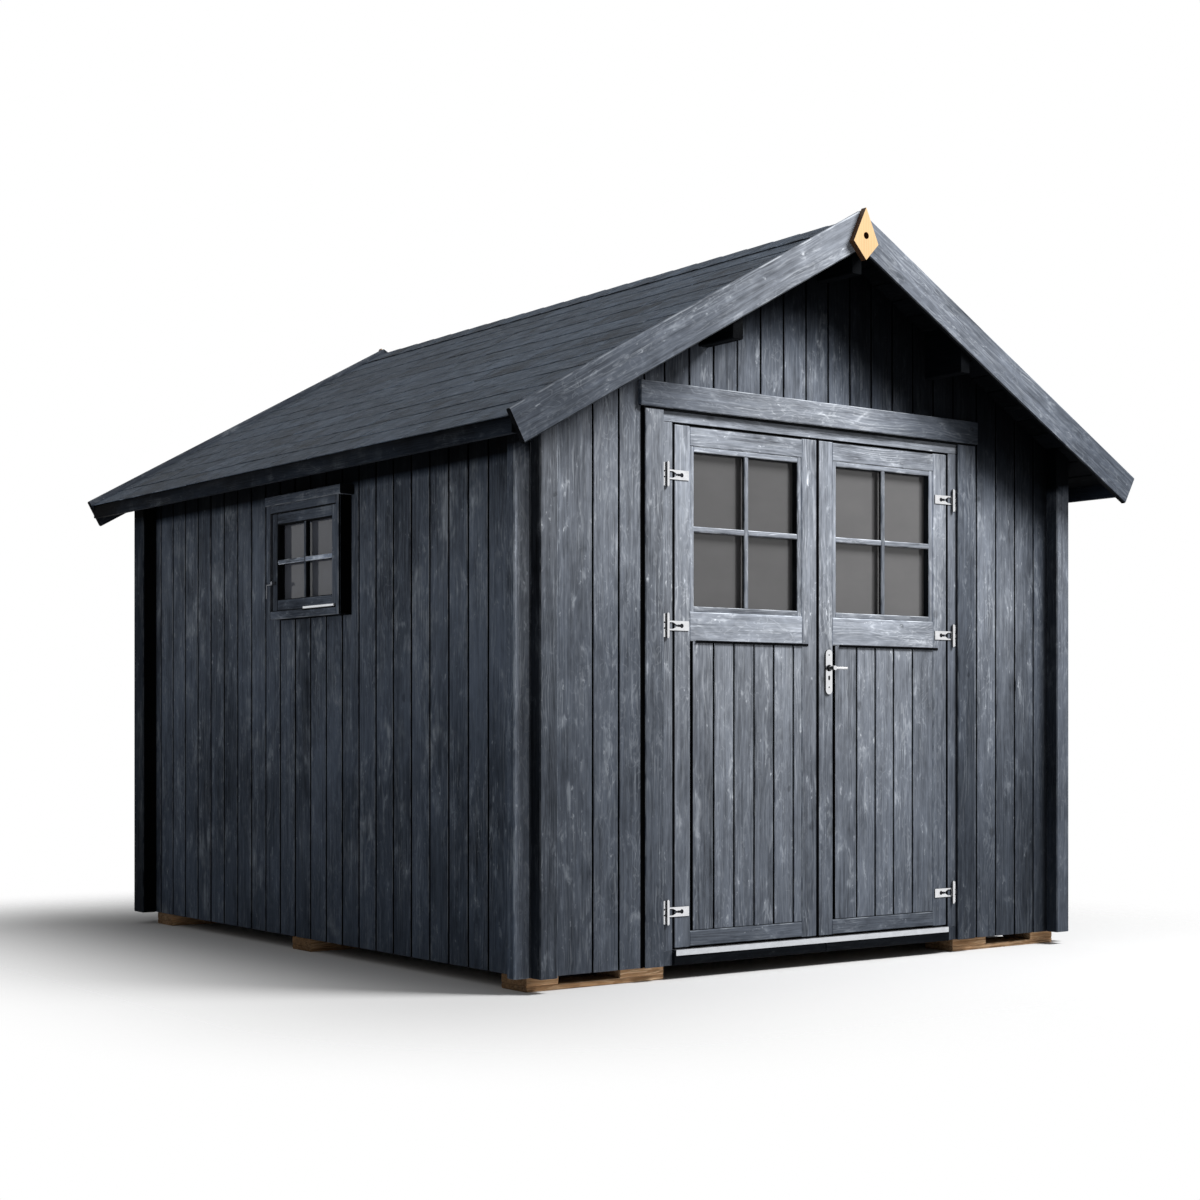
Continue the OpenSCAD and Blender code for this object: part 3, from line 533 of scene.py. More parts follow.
def islandBoxes(name):  # boxes of the separate solids in a node of the frame
    mesh = nodes[name].data
    spots = [tuple(round(c, 5) for c in v.co) for v in mesh.vertices]
    parent = {}

    def root(spot):
        while parent.setdefault(spot, spot) != spot:
            spot = parent[spot]
        return spot

    for face in mesh.polygons:
        first = root(spots[face.vertices[0]])
        for i in face.vertices[1:]:
            parent[root(spots[i])] = first
    groups = {}
    for spot in set(spots):
        groups.setdefault(root(spot), []).append(spot)
    boxes = []
    for group in groups.values():
        low = Vector([min(s[i] for s in group) for i in range(3)])
        high = Vector([max(s[i] for s in group) for i in range(3)])
        boxes.append((low, high))
    return sorted(boxes, key=lambda box: tuple(box[0]))


# How light the stain is: lighter in the upper middle of the front and darker near the ground, partly real
# bleaching and partly a painted pool of light, with painted shade where the roof overhangs the boards
bleachAndShade = {
    "rise": [(0.0, 0.52), (0.3, 0.65), (0.8, 0.94), (1.1, 1.15), (1.4, 1.6), (1.7, 1.7), (2.6, 1.7)],
    "boardRise": [(0.0, 0.72), (0.3, 0.85), (0.8, 1.0), (1.1, 1.2), (1.4, 1.85), (1.7, 2.1), (1.95, 1.55),
                  (2.6, 1.3)],
    "rightFrom": 0.7,
    "rightRise": [(0.0, 0.52), (0.4, 0.68), (0.9, 1.4), (1.3, 1.85), (1.7, 1.55), (2.6, 1.4)],
    "leafSpread": [(-0.9, 1.08), (-0.68, 1.12), (-0.5, 1.1), (-0.1, 1.1), (0.2, 1.03), (0.5, 0.97),
                   (0.66, 0.72), (0.8, 0.62)],
    # spread: the fall towards x = 1.145 is the painted shadow of the right corner batten
    "spread": [(-1.5, 0.8), (-1.1, 0.98), (0.2, 1.05), (0.8, 1.0), (1.05, 0.85), (1.11, 0.6), (1.145, 0.05),
               (1.25, 0.03)],
    # roofShade and dark: painted shade under the roof, reaching further down on the right
    "roofShade": [(-1.2, 0.09), (-0.6, 0.13), (-0.35, 0.19), (-0.13, 0.33), (0.1, 0.50), (0.3, 0.55),
                (0.47, 0.57), (0.7, 0.42), (0.84, 0.34), (1.05, 0.30), (1.2, 0.28)],
    "dark": [(0.0, 0.03), (0.55, 0.06), (0.85, 0.30), (1.1, 0.75), (1.35, 1.0)],
    # battenRise and sideRise: the sudden fall near 1.72 to 1.75 m is the painted shadow of the eaves
    "battenRise": [(0.0, 0.72), (0.8, 1.0), (1.4, 1.55), (1.735, 1.6), (1.755, 0.04), (2.6, 0.03)],
    "sideRise": [(0.0, 0.63), (0.35, 1.0), (0.9, 1.33), (1.45, 1.95), (1.70, 1.8), (1.725, 0.05),
                 (2.6, 0.03)],
    "back": 0.95, "backRoofShade": 0.3,
}


def frontTone(base):
    return lambda x, y, z: base * ease(z, bleachAndShade["rise"]) * ease(x, bleachAndShade["leafSpread"])


# the front: rise and spread are partly bleaching and partly painted light, times painted shade under the
# roof
def boardTone(x, y, z):
    rise = ease(z, bleachAndShade["rightRise"] if x > bleachAndShade["rightFrom"] else bleachAndShade["boardRise"])
    roofShade = ease((slopeZ(x) - z) / ease(x, bleachAndShade["roofShade"]), bleachAndShade["dark"])
    return rise * ease(x, bleachAndShade["spread"]) * roofShade


# the side walls: lighter upwards, then black in the painted shadow of the eaves
def sideTone(base):
    return lambda x, y, z: base * ease(z, bleachAndShade["sideRise"])


def backTone(x, y, z):  # without the eaves' shadow of the side walls, but with painted shade under the roof
    roofShade = ease((slopeZ(x) - z) / bleachAndShade["backRoofShade"], bleachAndShade["dark"])
    return bleachAndShade["back"] * ease(z, bleachAndShade["sideRise"][:4]) * roofShade


# Upright boarding with open joints over tongues, whose sides and tongues are painted near black as shade.
# The faces inside are bare, which a shade below zero says.
boarding = {
    "gap": 0.007, "sideGap": 0.011, "cut": 0.0018, "jointShade": 0.03, "tongueFront": 0.009,
    "tongueBack": 0.014, "uneven": 0.0005, "step": 0.05, "frontFirst": -1.024, "frontPitch": 0.1056,
    # eaveBands: heights where the painted shadow of the eaves begins on the side walls
    "besideDoor": 0.020, "sideFirst": -1.2995, "sidePitch": 0.1201, "eaveBands": (1.70, 1.7245),
    "inside": -1.0, "near": 1e-6, "roofClear": 0.0004,
}


def boardSection(p0, p1, openLeft, openRight, tongue, thick, gap, inside):
    half, cut, dark = gap / 2, boarding["cut"], boarding["jointShade"]
    left = p0 + (half if openLeft else 0)
    right = p1 - (half if openRight else 0)
    corners = [(left, cut, 1, 1), (left + cut, 0, 0, 1)] if openLeft else [(left, 0, 0, 1)]
    corners += [(right - cut, 0, 1, 1), (right, cut, 0, dark)] if openRight else [(right, 0, 0, dark)]
    if tongue:
        reach, t0, t1 = p1 + half, boarding["tongueFront"], boarding["tongueBack"]
        corners += [(right, t0, 0, dark), (reach, t0, 0, dark), (reach, t1, 0, dark), (right, t1, 0, dark)]
    corners += [(right, thick, 0, inside), (left, thick, 0, dark)]
    return [c[:2] for c in corners], [c[2] for c in corners], [c[3] for c in corners]


def wallBoards(store, edges, place, low, high, thick, tone, openings=(), gap=boarding["gap"], bands=(),
               inside=boarding["inside"]):
    for n, (e0, e1) in enumerate(zip(edges, edges[1:])):
        last = n == len(edges) - 2
        chance, start = draw.random(), grainStart()
        push = draw.uniform(0, boarding["uneven"])
        cuts = sorted({e0, e1, *(side for hole in openings for side in hole[:2] if e0 < side < e1)})
        for c0, c1 in zip(cuts, cuts[1:]):
            spans = [(low, high)]
            for p0, p1, a0, a1 in openings:
                if c0 >= p0 - boarding["near"] and c1 <= p1 + boarding["near"]:
                    spans = ([] if a0 <= low else [(low, a0)]) + [(a1, high)]
            section, marks, shades = boardSection(c0, c1, c0 == e0 and n > 0, c1 == e1 and not last,
                                                  c1 == e1 and not last, thick, gap, inside)
            for s0, s1 in spans:
                store.prism(section, marks, lambda p, q, a: place(p, q + push, a), s0, s1, tone,
                            chance=chance, start=start, shades=shades, step=boarding["step"], bands=bands)


def evenEdges(first, last, start, pitch, least=0.02):  # no strip is narrower than least
    inner = []
    while start < last - least:
        if start > first + least:
            inner.append(start)
        start += pitch
    return [first] + inner + [last]


frontLow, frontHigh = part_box("front_wall_left")
boardThick = frontHigh.y - frontLow.y
frontY, baseZ, sideX = frontLow.y, frontLow.z, -frontLow.x
jambLow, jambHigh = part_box("door_head")
frontEdges = [e + boarding["besideDoor"] if e < jambLow.x or e > jambHigh.x else e for e in
              evenEdges(-sideX, sideX, boarding["frontFirst"], boarding["frontPitch"])]
frontEdges[0], frontEdges[-1] = -sideX, sideX


def wallTop(x, y=0.0):
    return slopeZ(x) - boarding["roofClear"]


front = Timbers("front_boards")
wallBoards(front, frontEdges, lambda p, q, a: (p, frontY + q, a), baseZ, wallTop, boardThick,
           boardTone, [(jambLow.x, jambHigh.x, -1.0, jambHigh.z)])
front.build(stainFinish, "shed", "stained_boards", "front_wall_left", "front_wall_right", "front_gable")

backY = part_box("back_wall")[1].y
back = Timbers("back_boards")
wallBoards(back, frontEdges, lambda p, q, a: (p, backY - q, a), baseZ, wallTop, boardThick, backTone)
back.build(stainFinish, "shed", "stained_boards", "back_wall")

sideLow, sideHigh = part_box("right_wall")
frameLow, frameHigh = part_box("window_frame")
sideEdges = evenEdges(sideLow.y, sideHigh.y, boarding["sideFirst"], boarding["sidePitch"])
for name, sign, holes in (("left", -1, [(frameLow.y, frameHigh.y, frameLow.z, frameHigh.z)]),
                          ("right", 1, [])):
    walls = Timbers(name + "_boards")
    wallBoards(walls, sideEdges, lambda p, q, a: (sign * (sideX - q), p, a), baseZ,
               lambda p, q: wallTop(sideX - q, p), boardThick, sideTone(1.0), holes, boarding["sideGap"],
               boarding["eaveBands"])
    walls.build(stainFinish, "shed", "stained_boards", name + "_wall")


# Corner battens
# front and side scale the rises; back paints the back battens' front faces dark as shade; lit paints light
# and unlit paints shade on single faces; bands mark the painted shadow of the eaves
battens = {"cut": 0.004, "endCut": 0.002, "front": 1.05, "side": 0.9, "back": 0.25,
           "unlit": [0.85, 1, 1, 1, 1, 1, 0.2, 0.4], "lit": [1.7, 1, 1, 1, 1, 1, 1, 1.5],
           "bands": (1.70, 1.7245, 1.735, 1.755), "step": 0.05}
cornerPosts = Timbers("corner_battens")
for low, high in islandBoxes("gable_corner_battens") + islandBoxes("side_corner_battens"):
    section, marks = chamfered(low.x, high.x, low.y, high.y, battens["cut"])
    onSide = abs(low.x + high.x) / 2 > sideX
    shade, sides = sideTone(battens["side"]), None
    if low.y < 0 and not onSide:  # their left sides are never lit
        rise = bleachAndShade["boardRise"] if low.x < 0 else bleachAndShade["battenRise"]
        shade, sides = (lambda x, y, z: battens["front"] * ease(z, rise)), battens["unlit"]
    # the side batten at the front corner lies in shadow: its front face is painted light
    elif low.y < 0:
        sides = battens["lit"]
    # the back battens' front faces: painted shade
    elif onSide:
        shade, sides = sideTone(battens["back"]), shadedSides(0)
    cornerPosts.prism(section, marks, alongWays["z"][0], low.z, wallTop, shade, cut=battens["endCut"],
                      shades=sides, step=battens["step"], bands=battens["bands"])
cornerPosts.build(stainFinish, "shed", "stained_trim", "gable_corner_battens", "side_corner_battens")


# Base, floor and the framing inside
# footEnds, bearerEnds and bearerSides paint shade on the ends and sides of the timbers under the shed
footing = {"footTone": (1.15, 1.45), "footCut": 0.003, "footEnds": (0.45, 1.0), "bearerTone": 0.8,
           "bearerEnds": (0.04, 0.5), "bearerSides": 0.25}
indoors = {"pitch": 0.095, "gap": 0.0008, "cut": 0.0015, "tone": (0.85, 1.05), "plateTone": 0.95}
feet = Timbers("foot_timbers")
for low, high in islandBoxes("foot_planks") + islandBoxes("foot_blocks"):
    timber(feet, low, high, "x", draw.uniform(*footing["footTone"]), cut=footing["footCut"],
           ends=footing["footEnds"])
feet.build(sawnFinish, "shed", "bare_wood", "foot_planks", "foot_blocks")

joists = Timbers("bearer_timbers")
for low, high in islandBoxes("floor_bearers"):
    timber(joists, low, high, "y", footing["bearerTone"], ends=footing["bearerEnds"],
           shades=shadedSides(0, 6, 2, tone=footing["bearerSides"]))
joists.build(sawnFinish, "shed", "bare_wood", "floor_bearers")

floorLow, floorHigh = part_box("floor_boards")
deck = Timbers("floor_planks")
deckEdges = evenEdges(floorLow.y, floorHigh.y, floorLow.y + indoors["pitch"], indoors["pitch"])
# the floor's underside is painted dark as shade
for y0, y1 in zip(deckEdges, deckEdges[1:]):
    timber(deck, (floorLow.x, y0 + indoors["gap"], floorLow.z),
           (floorHigh.x, y1 - indoors["gap"], floorHigh.z), "x", draw.uniform(*indoors["tone"]),
           cut=indoors["cut"], shades=shadedSides(6))
deck.build(roomFinish, "shed", "bare_wood", "floor_boards")

framing = Timbers("stud_timbers")
for low, high in islandBoxes("wall_studs"):
    timber(framing, low, high, "z", draw.uniform(*indoors["tone"]))
for low, high in islandBoxes("eave_plates"):
    section = [(low.x, low.z), (high.x, low.z), (high.x, wallTop(high.x)), (low.x, wallTop(low.x))]
    framing.prism(section, [0] * 4, alongWays["y"][0], low.y, high.y, indoors["plateTone"])
framing.build(roomFinish, "shed", "bare_wood", "wall_studs", "eave_plates")


# Roof carpentry
# tone paints the purlins near black as shade under the roof
purlin = {"lip": 0.003, "tone": 0.03}
beams = Timbers("purlin_timbers")
for low, high in islandBoxes("purlins"):
    lip = purlin["lip"]
    tops = [high.x, 0.0, low.x] if low.x < 0 < high.x else [high.x, low.x]
    section = [(low.x + lip, low.z), (high.x - lip, low.z), (high.x, low.z + lip)]
    section += [(x, wallTop(x)) for x in tops] + [(low.x, low.z + lip)]
    marks = [0, 1] + [0] * (len(section) - 3) + [1]
    beams.prism(section, marks, alongWays["y"][0], low.y, high.y, purlin["tone"])
beams.build(stainFinish, "shed", "stained_trim", "purlins")

deckLow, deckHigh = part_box("roof_boards_right")
coverLow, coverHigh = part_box("shingles_right")
vergeLow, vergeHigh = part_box("verge_boards_right")
# tone paints the roof boards near black as shade under the eaves
sheathing = {"pitch": 0.096, "thick": 0.0176, "gap": 0.003, "lift": 0.0002, "cut": 0.003, "inset": 0.012,
             "tone": (0.02, 0.05)}
sheathing["run"] = deckHigh.x / roof["cos"]
slopes = (("left", -1), ("right", 1))


def onSlope(sign):  # run down the slope from the ridge, height square to it, then along the ridge
    return lambda run, up, y: (sign * (run * roof["cos"] + up * roof["sin"]), y,
                               roof["ridge"] - run * roof["sin"] + up * roof["cos"])


for name, sign in slopes:
    cladding = Timbers(name + "_roof_boards")
    edges = evenEdges(sheathing["inset"], sheathing["run"] - sheathing["inset"],
                      sheathing["inset"] + sheathing["pitch"], sheathing["pitch"])
    for r0, r1 in zip(edges, edges[1:]):
        section, marks = chamfered(r0 + sheathing["gap"] / 2, r1 - sheathing["gap"] / 2,
                                   sheathing["lift"], sheathing["thick"], sheathing["cut"])
        cladding.prism(section, marks, onSlope(sign), deckLow.y, deckHigh.y,
                       draw.uniform(*sheathing["tone"]))
    cladding.build(stainFinish, "shed", "stained_trim", "roof_boards_" + name)

# left and right paint light on the front verges, lighter near the ridge; under, ends and back paint shade on
# the undersides, the eave ends and the back verges
verge = {"cut": 0.004, "endCut": 0.002, "step": 0.12, "back": 0.5, "ends": (1.0, 0.04),
         "under": [1.0, 1.0, 1.0, 1.0, 1.0, 0.03, 0.03, 0.3],
         "left": [(0.0, 2.35), (0.35, 2.15), (0.8, 1.35), (1.2, 1.02), (1.7, 0.72)],
         "right": [(0.0, 1.6), (0.35, 1.75), (0.8, 1.45), (1.2, 0.95), (1.7, 0.58)]}
ridgeUp = (vergeHigh.z - roof["ridge"]) * roof["cos"]  # heights square to the slope
eaveRun = (vergeHigh.x - ridgeUp * roof["sin"]) / roof["cos"]
vergeDown = (vergeLow.z - roof["ridge"] + eaveRun * roof["sin"]) / roof["cos"]
for name, sign in slopes:
    planks = Timbers(name + "_verge_planks")
    for low, high in islandBoxes("verge_boards_" + name):
        section, marks = chamfered(vergeDown, ridgeUp, low.y, high.y, verge["cut"])
        shade = (lambda x, y, z: ease(abs(x), verge[name])) if low.y < 0 else verge["back"]
        place = onSlope(sign)
        planks.prism(section, marks, lambda up, y, run: place(run, up, y), lambda up, y: -up * roof["tan"],
                     eaveRun, shade, cut=verge["endCut"], step=verge["step"], shades=verge["under"],
                     ends=verge["ends"])
    planks.build(stainFinish, "shed", "stained_trim", "verge_boards_" + name)

fascias = Timbers("fascia_boards")
fascia = {"top": 0.05, "foot": 0.40, "footHigh": 0.001, "up": 0.0178, "step": 0.1,
          "ends": [(-2.0, 0.6), (-1.2, 1.0), (1.2, 1.0), (1.42, 0.05), (2.0, 0.0)]}


def fasciaTone(foot):  # lighter at the foot, with painted shade above it and towards the back
    footTop = foot + fascia["footHigh"]
    return lambda x, y, z: ease(y, fascia["ends"]) * fascia["foot" if z < footTop else "top"]


for low, high in islandBoxes("eave_fascias"):
    section = [(low.x, low.z), (high.x, low.z), (high.x, slopeZ(high.x, fascia["up"])),
               (low.x, slopeZ(low.x, fascia["up"]))]
    fascias.prism(section, [0] * 4, alongWays["y"][0], low.y, high.y, fasciaTone(low.z),
                  step=fascia["step"])
fascias.build(stainFinish, "shed", "stained_trim", "eave_fascias")
print("roof carpentry done")


# Shingles: strips of tabs laid in courses from the eaves up, with bent caps along the ridge
shingles = {"course": 0.141, "tab": 0.325, "slot": 0.006, "thick": 0.0032, "lap": 0.075, "rest": 0.0182,
            "lift": 0.0018, "stray": 0.010, "shift": 0.05, "warp": 0.0012, "least": 0.02, "last": 0.03,
            "head": 0.004, "foot": 0.001, "nose": (0.0015, 0.0008), "cut": 0.001, "rowTone": (0.94, 1.06),
            "tabTone": (0.86, 1.14), "lip": 0.9, "pale": (0.9, 3.8)}
ridge = {"reach": 0.118, "step": 0.145, "lap": 0.04, "rest": 0.0222, "bends": (0.012, 0.03),
         "sag": {0.0: 0.004, 0.012: 0.0012}, "rise": 0.0026, "cut": 0.0008, "tone": (0.9, 1.1)}


def courseTabs(store, sign):
    look = shingles
    rows = int((eaveRun + look["least"]) / look["course"])
    for row in range(rows):
        foot = eaveRun - row * look["course"]
        head = max(foot - look["course"] - look["lap"], look["head"])
        y = coverLow.y - (row % 2) * look["tab"] / 2 - draw.uniform(0, look["shift"])
        rowTone = draw.uniform(*look["rowTone"])
        while y < coverHigh.y - look["last"]:
            y0 = max(y, coverLow.y)
            y1 = min(y + look["tab"] - look["slot"], coverHigh.y)
            y += look["tab"]
            if y1 - y0 < look["least"]:
                continue
            end = foot - draw.uniform(0, look["stray"])
            lift = look["rest"] + (look["lift"] if row else 0.0) + draw.uniform(0, look["warp"])
            top, (back, down) = lift + look["thick"], look["nose"]
            section = [(head, look["rest"]), (end - look["foot"], lift), (end, lift + look["foot"]),
                       (end, top - down), (end - back, top), (head, look["rest"] + look["thick"])]
            lip, pale = draw.uniform(0.0, look["lip"]), draw.uniform(*look["pale"])  # the feet take painted light from pale and painted shade from lip
            store.prism(section, [0, lip, lip, lip * 0.4, 0, 0], onSlope(sign), y0, y1,
                        rowTone * draw.uniform(*look["tabTone"]), cut=look["cut"],
                        shades=[1, pale, pale, pale, 1, 1])


for name, sign in slopes:
    covering = Timbers(name + "_shingle_courses")
    courseTabs(covering, sign)
    covering.build(shingleFelt, "shed", "shingle", "shingles_" + name)


def capSkin(up):
    halfXs = [*ridge["bends"], ridge["reach"]]
    xs = [-x for x in reversed(halfXs)] + [0.0] + halfXs
    return [(x, slopeZ(x, up) - ridge["sag"].get(abs(x), 0.0)) for x in xs]


def capPlace(start):  # each cap rests on the one behind it
    length = ridge["step"] + ridge["lap"]
    return lambda p, q, a: (p, a, q + ridge["rise"] * (1 - (a - start) / length))


caps = Timbers("ridge_caps")
capSection = capSkin(ridge["rest"]) + capSkin(ridge["rest"] + shingles["thick"])[::-1]
capMarks = ([0] * 6 + [1]) * 2  # the two edges are worn
y = coverLow.y
while y < coverHigh.y - shingles["last"]:
    y1 = min(y + ridge["step"] + ridge["lap"], coverHigh.y)
    caps.prism(capSection, capMarks, capPlace(y), y, y1, draw.uniform(*ridge["tone"]), cut=ridge["cut"])
    y += ridge["step"]
caps.build(shingleFelt, "shed", "shingle")
print("shingles laid")


# Door frame and casing
# jamb and head are painted lighter than the casing as painted light; their sides beside the leaves take
# painted shade
frameLook = {"jamb": 1.5, "head": 1.9, "stop": 0.15, "cut": 0.002, "stopCut": 0.0015}
trim = Timbers("door_frame_timbers")
for low, high in islandBoxes("door_jambs"):
    inner = (1, 2) if low.x < 0 else (6, 7)
    timber(trim, low, high, "z", frontTone(frameLook["jamb"]), cut=frameLook["cut"],
           shades=shadedSides(*inner))
for low, high in islandBoxes("door_head"):
    timber(trim, low, high, "x", frontTone(frameLook["head"]), cut=frameLook["cut"],
           shades=shadedSides(6, 7))
for low, high in islandBoxes("door_stops"):
    along = "z" if high.z - low.z > high.x - low.x else "x"
    timber(trim, low, high, along, frameLook["stop"], cut=frameLook["stopCut"])
trim.build(stainFinish, "shed", "stained_trim", "door_jambs", "door_head", "door_stops")

casing = Timbers("casing_planks")
casingLook = {
    "left": 1.18, "right": 1.05, "cut": 0.003, "shadowGap": 0.013, "shadowTone": 0.01, "shadowCut": 0.0004,
    "shadowProud": 0.001, "headProud": 0.0012,
    # head paints light on the middle of the header and shade on its right end under the roof
    "head": [(-0.9, 0.98), (-0.7, 1.28), (-0.4, 2.3), (0.2, 2.35), (0.45, 1.35), (0.7, 0.40), (0.9, 0.2)],
    "underHead": 0.007,
}
for low, high in islandBoxes("door_casings"):
    if low.x < 0:  # a black strip beside the left plank paints its shadow
        gapHigh = (low.x + casingLook["shadowGap"], frontY, high.z)
        timber(casing, (low.x, frontY - casingLook["shadowProud"], low.z), gapHigh, "z",
               casingLook["shadowTone"], cut=casingLook["shadowCut"])
        low = Vector((gapHigh[0], low.y, low.z))
    timber(casing, low, high, "z", frontTone(casingLook["left" if low.x < 0 else "right"]),
           cut=casingLook["cut"], shades=shadedSides(2, 6))
for low, high in islandBoxes("door_header"):
    timber(casing, low, high, "x", lambda x, y, z: ease(x, casingLook["head"]), cut=casingLook["cut"],
           shades=shadedSides(6))
    shadowLow = (low.x + casingLook["shadowGap"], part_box("door_casings")[0].y - casingLook["headProud"],
                 low.z - casingLook["underHead"])
    timber(casing, shadowLow, (high.x - casingLook["shadowGap"], frontY, low.z), "x",
           casingLook["shadowTone"], cut=casingLook["shadowCut"])
casing.build(stainFinish, "shed", "stained_trim", "door_casings", "door_header")

sillLow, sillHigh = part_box("door_sill")
sill = Timbers("sill_timbers")
sillLook = {"joint": 0.012, "gap": 0.001, "tone": 0.05, "footTone": 0.9}
doorway = (islandBoxes("door_jambs")[0][1].x, islandBoxes("door_jambs")[1][0].x)
for x0, x1, outer in ((doorway[0], sillLook["joint"] - sillLook["gap"], sillLow.x),
                      (sillLook["joint"] + sillLook["gap"], doorway[1], sillHigh.x)):
    timber(sill, (x0, sillLow.y, sillLow.z), (x1, frontY + boardThick, sillHigh.z), "x", sillLook["tone"])
    f0, f1 = sorted((outer, x0 if outer < 0 else x1))  # the feet of the jambs
    timber(sill, (f0, frontY, sillLow.z), (f1, frontY + boardThick, sillHigh.z), "z",
           frontTone(sillLook["footTone"]))
sill.build(stainFinish, "shed", "stained_trim", "door_sill")


# Door leaves
leafLook = {
    # underBead, grooveShade and the dark sides paint shade; upright paints the upright bars darker than the
    # level bars as shade
    "stile": 1.75, "topRail": 1.8, "midRail": 2.3, "lowRail": 1.7, "panel": 1.8, "bead": 1.7,
    "cut": 0.003, "railCut": 0.0003, "beadCut": 0.0005, "underBead": 0.35, "joint": 0.0002,
    "railSet": 0.0003, "bar": 0.0185, "barCut": 0.003, "barDeep": 0.016, "barSet": 0.001,
    "crossSet": 0.0008, "upright": 0.75, "groove": 0.014, "grooveSet": 0.012, "grooveShade": 0.02,
    "grooveCut": 0.0005, "panelFoot": 0.002, "panelTop": 0.0005, "inside": 1.0,
    "dripHigh": 0.008, "dripUp": 0.002,
    "dripProud": 0.003, "dripCut": 0.001, "drip": {"left": (0.026, 0.028), "right": (0.034, 0.024)},
    "grooves": {"left": (-0.493, -0.403, -0.312, -0.222, -0.131), "right": (0.174, 0.266, 0.358, 0.455)},
}


def leafTimbers(side):
    look = leafLook
    body = side + "_door"
    leafFrame = Timbers(side + "_leaf_frame")

    def node(part):
        return side + "_door_" + part

    stiles = sorted(islandBoxes(node("stiles")), key=lambda box: box[0].x)
    for (low, high), dark in zip(stiles, ((2, 6, 7), (1, 2))):  # painted shade on the sides in the gaps round a leaf
        timber(leafFrame, low, high, "z", frontTone(look["stile"]), cut=look["cut"],
               shades=shadedSides(*dark))
    rails = sorted(islandBoxes(node("rails")), key=lambda box: box[0].z)
    kinds = (("lowRail", (6, 7)), ("midRail", (6,)), ("topRail", (1, 2, 6)))
    for (low, high), (kind, dark) in zip(rails, kinds):
        low = Vector((low.x + look["joint"], low.y + look["railSet"], low.z))
        high = Vector((high.x - look["joint"], high.y, high.z))
        timber(leafFrame, low, high, "x", frontTone(look[kind]), cut=look["cut"],
               endCut=look["railCut"], shades=shadedSides(*dark))
    leafFrame.build(stainFinish, body, "stained_door", node("stiles"), node("rails"))

    low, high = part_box(node("panel"))
    leafFace = rails[0][0].y
    panel = Timbers(side + "_leaf_boards")
    edges = [low.x + look["groove"], *look["grooves"][side], high.x - look["joint"]]
    wallBoards(panel, edges, lambda p, q, a: (p, low.y + q, a), low.z + look["panelFoot"],
               high.z - look["panelTop"], high.y - low.y, frontTone(look["panel"]),
               inside=look["inside"])
    # a black strip in the groove beside the stile paints the shade in it
    grooveHigh = (low.x + look["groove"], high.y, high.z)
    timber(panel, (low.x, low.y + look["grooveSet"], low.z), grooveHigh, "z", look["grooveShade"],
           cut=look["grooveCut"])
    indent, past = look["drip"][side]  # drip strip under the middle rail, painted black as its shadow
    dripHigh = (high.x + past, leafFace + look["dripProud"], high.z + look["dripUp"])
    dripLow = (low.x + indent, leafFace - look["dripProud"], dripHigh[2] - look["dripHigh"])
    timber(panel, dripLow, dripHigh, "x", look["grooveShade"], cut=look["dripCut"])
    panel.build(stainFinish, body, "stained_door", node("panel"))

    glassLow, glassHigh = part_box(node("glass"))
    low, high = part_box(node("beads"))
    beads = Timbers(side + "_leaf_beads")
    shade = frontTone(look["bead"])
    upright = frontTone(look["bead"] * look["upright"])
    for x0, x1, inner in ((low.x, glassLow.x, 2), (glassHigh.x, high.x, 6)):
        timber(beads, (x0, low.y, low.z), (x1, high.y, high.z), "z", shade, endCut=look["beadCut"],
               shades=shadedSides(inner))
    for z0, z1, sides in ((low.z, glassLow.z, shadedSides(2, tone=look["underBead"])),
                          (glassHigh.z, high.z, shadedSides(6))):
        timber(beads, (glassLow.x, low.y, z0), (glassHigh.x, high.y, z1), "x", shade,
               endCut=look["beadCut"], shades=sides)
    half, midX, midZ = look["bar"] / 2, (low.x + high.x) / 2, (glassLow.z + glassHigh.z) / 2
    front = low.y + look["barSet"]
    for y0, y1 in ((front, front + look["barDeep"]), (glassHigh.y, high.y)):
        timber(beads, (midX - half, y0, glassLow.z), (midX + half, y1, glassHigh.z), "z", upright,
               cut=look["barCut"], shades=shadedSides(2, 4, 6))
        for x0, x1 in ((glassLow.x, midX - half), (midX + half, glassHigh.x)):
            timber(beads, (x0, y0 + look["crossSet"], midZ - half), (x1, y1, midZ + half), "x", shade,
                   cut=look["barCut"], endCut=look["beadCut"], shades=shadedSides(2, 4, 6))
    beads.build(stainFinish, body, "stained_door", node("beads"))


for side in ("left", "right"):
    leafTimbers(side)
print("doors made")

# Black fittings in the hardware: screws of the straps and bush of the handle in blacked steel, and black
# patches in the slots of the straps and in the keyhole that paint the shade in these openings
strapLook = {"hole": 0.031, "head": 0.0072, "sunk": 0.0008, "slot": (0.037, 0.050), "slotHigh": 0.0042,
             "thick": 0.003, "proud": 0.0004, "cut": 0.0002}
for side, sign in (("left", 1), ("right", -1)):
    screws = Timbers(side + "_strap_screws")
    for low, high in islandBoxes(side + "_hinge_straps"):
        far, z, face = high.x if sign > 0 else low.x, (low.z + high.z) / 2, frontY - strapLook["thick"]
        peg(screws, far - sign * strapLook["hole"], z, strapLook["head"], face + strapLook["sunk"], frontY)
        x0, x1 = sorted(far - sign * reach for reach in strapLook["slot"])
        timber(screws, (x0, face - strapLook["proud"], z - strapLook["slotHigh"]),
               (x1, face + strapLook["sunk"], z + strapLook["slotHigh"]), "x", cut=strapLook["cut"])
    screws.build(blackAndShadeFinish, side + "_door", "hardware")

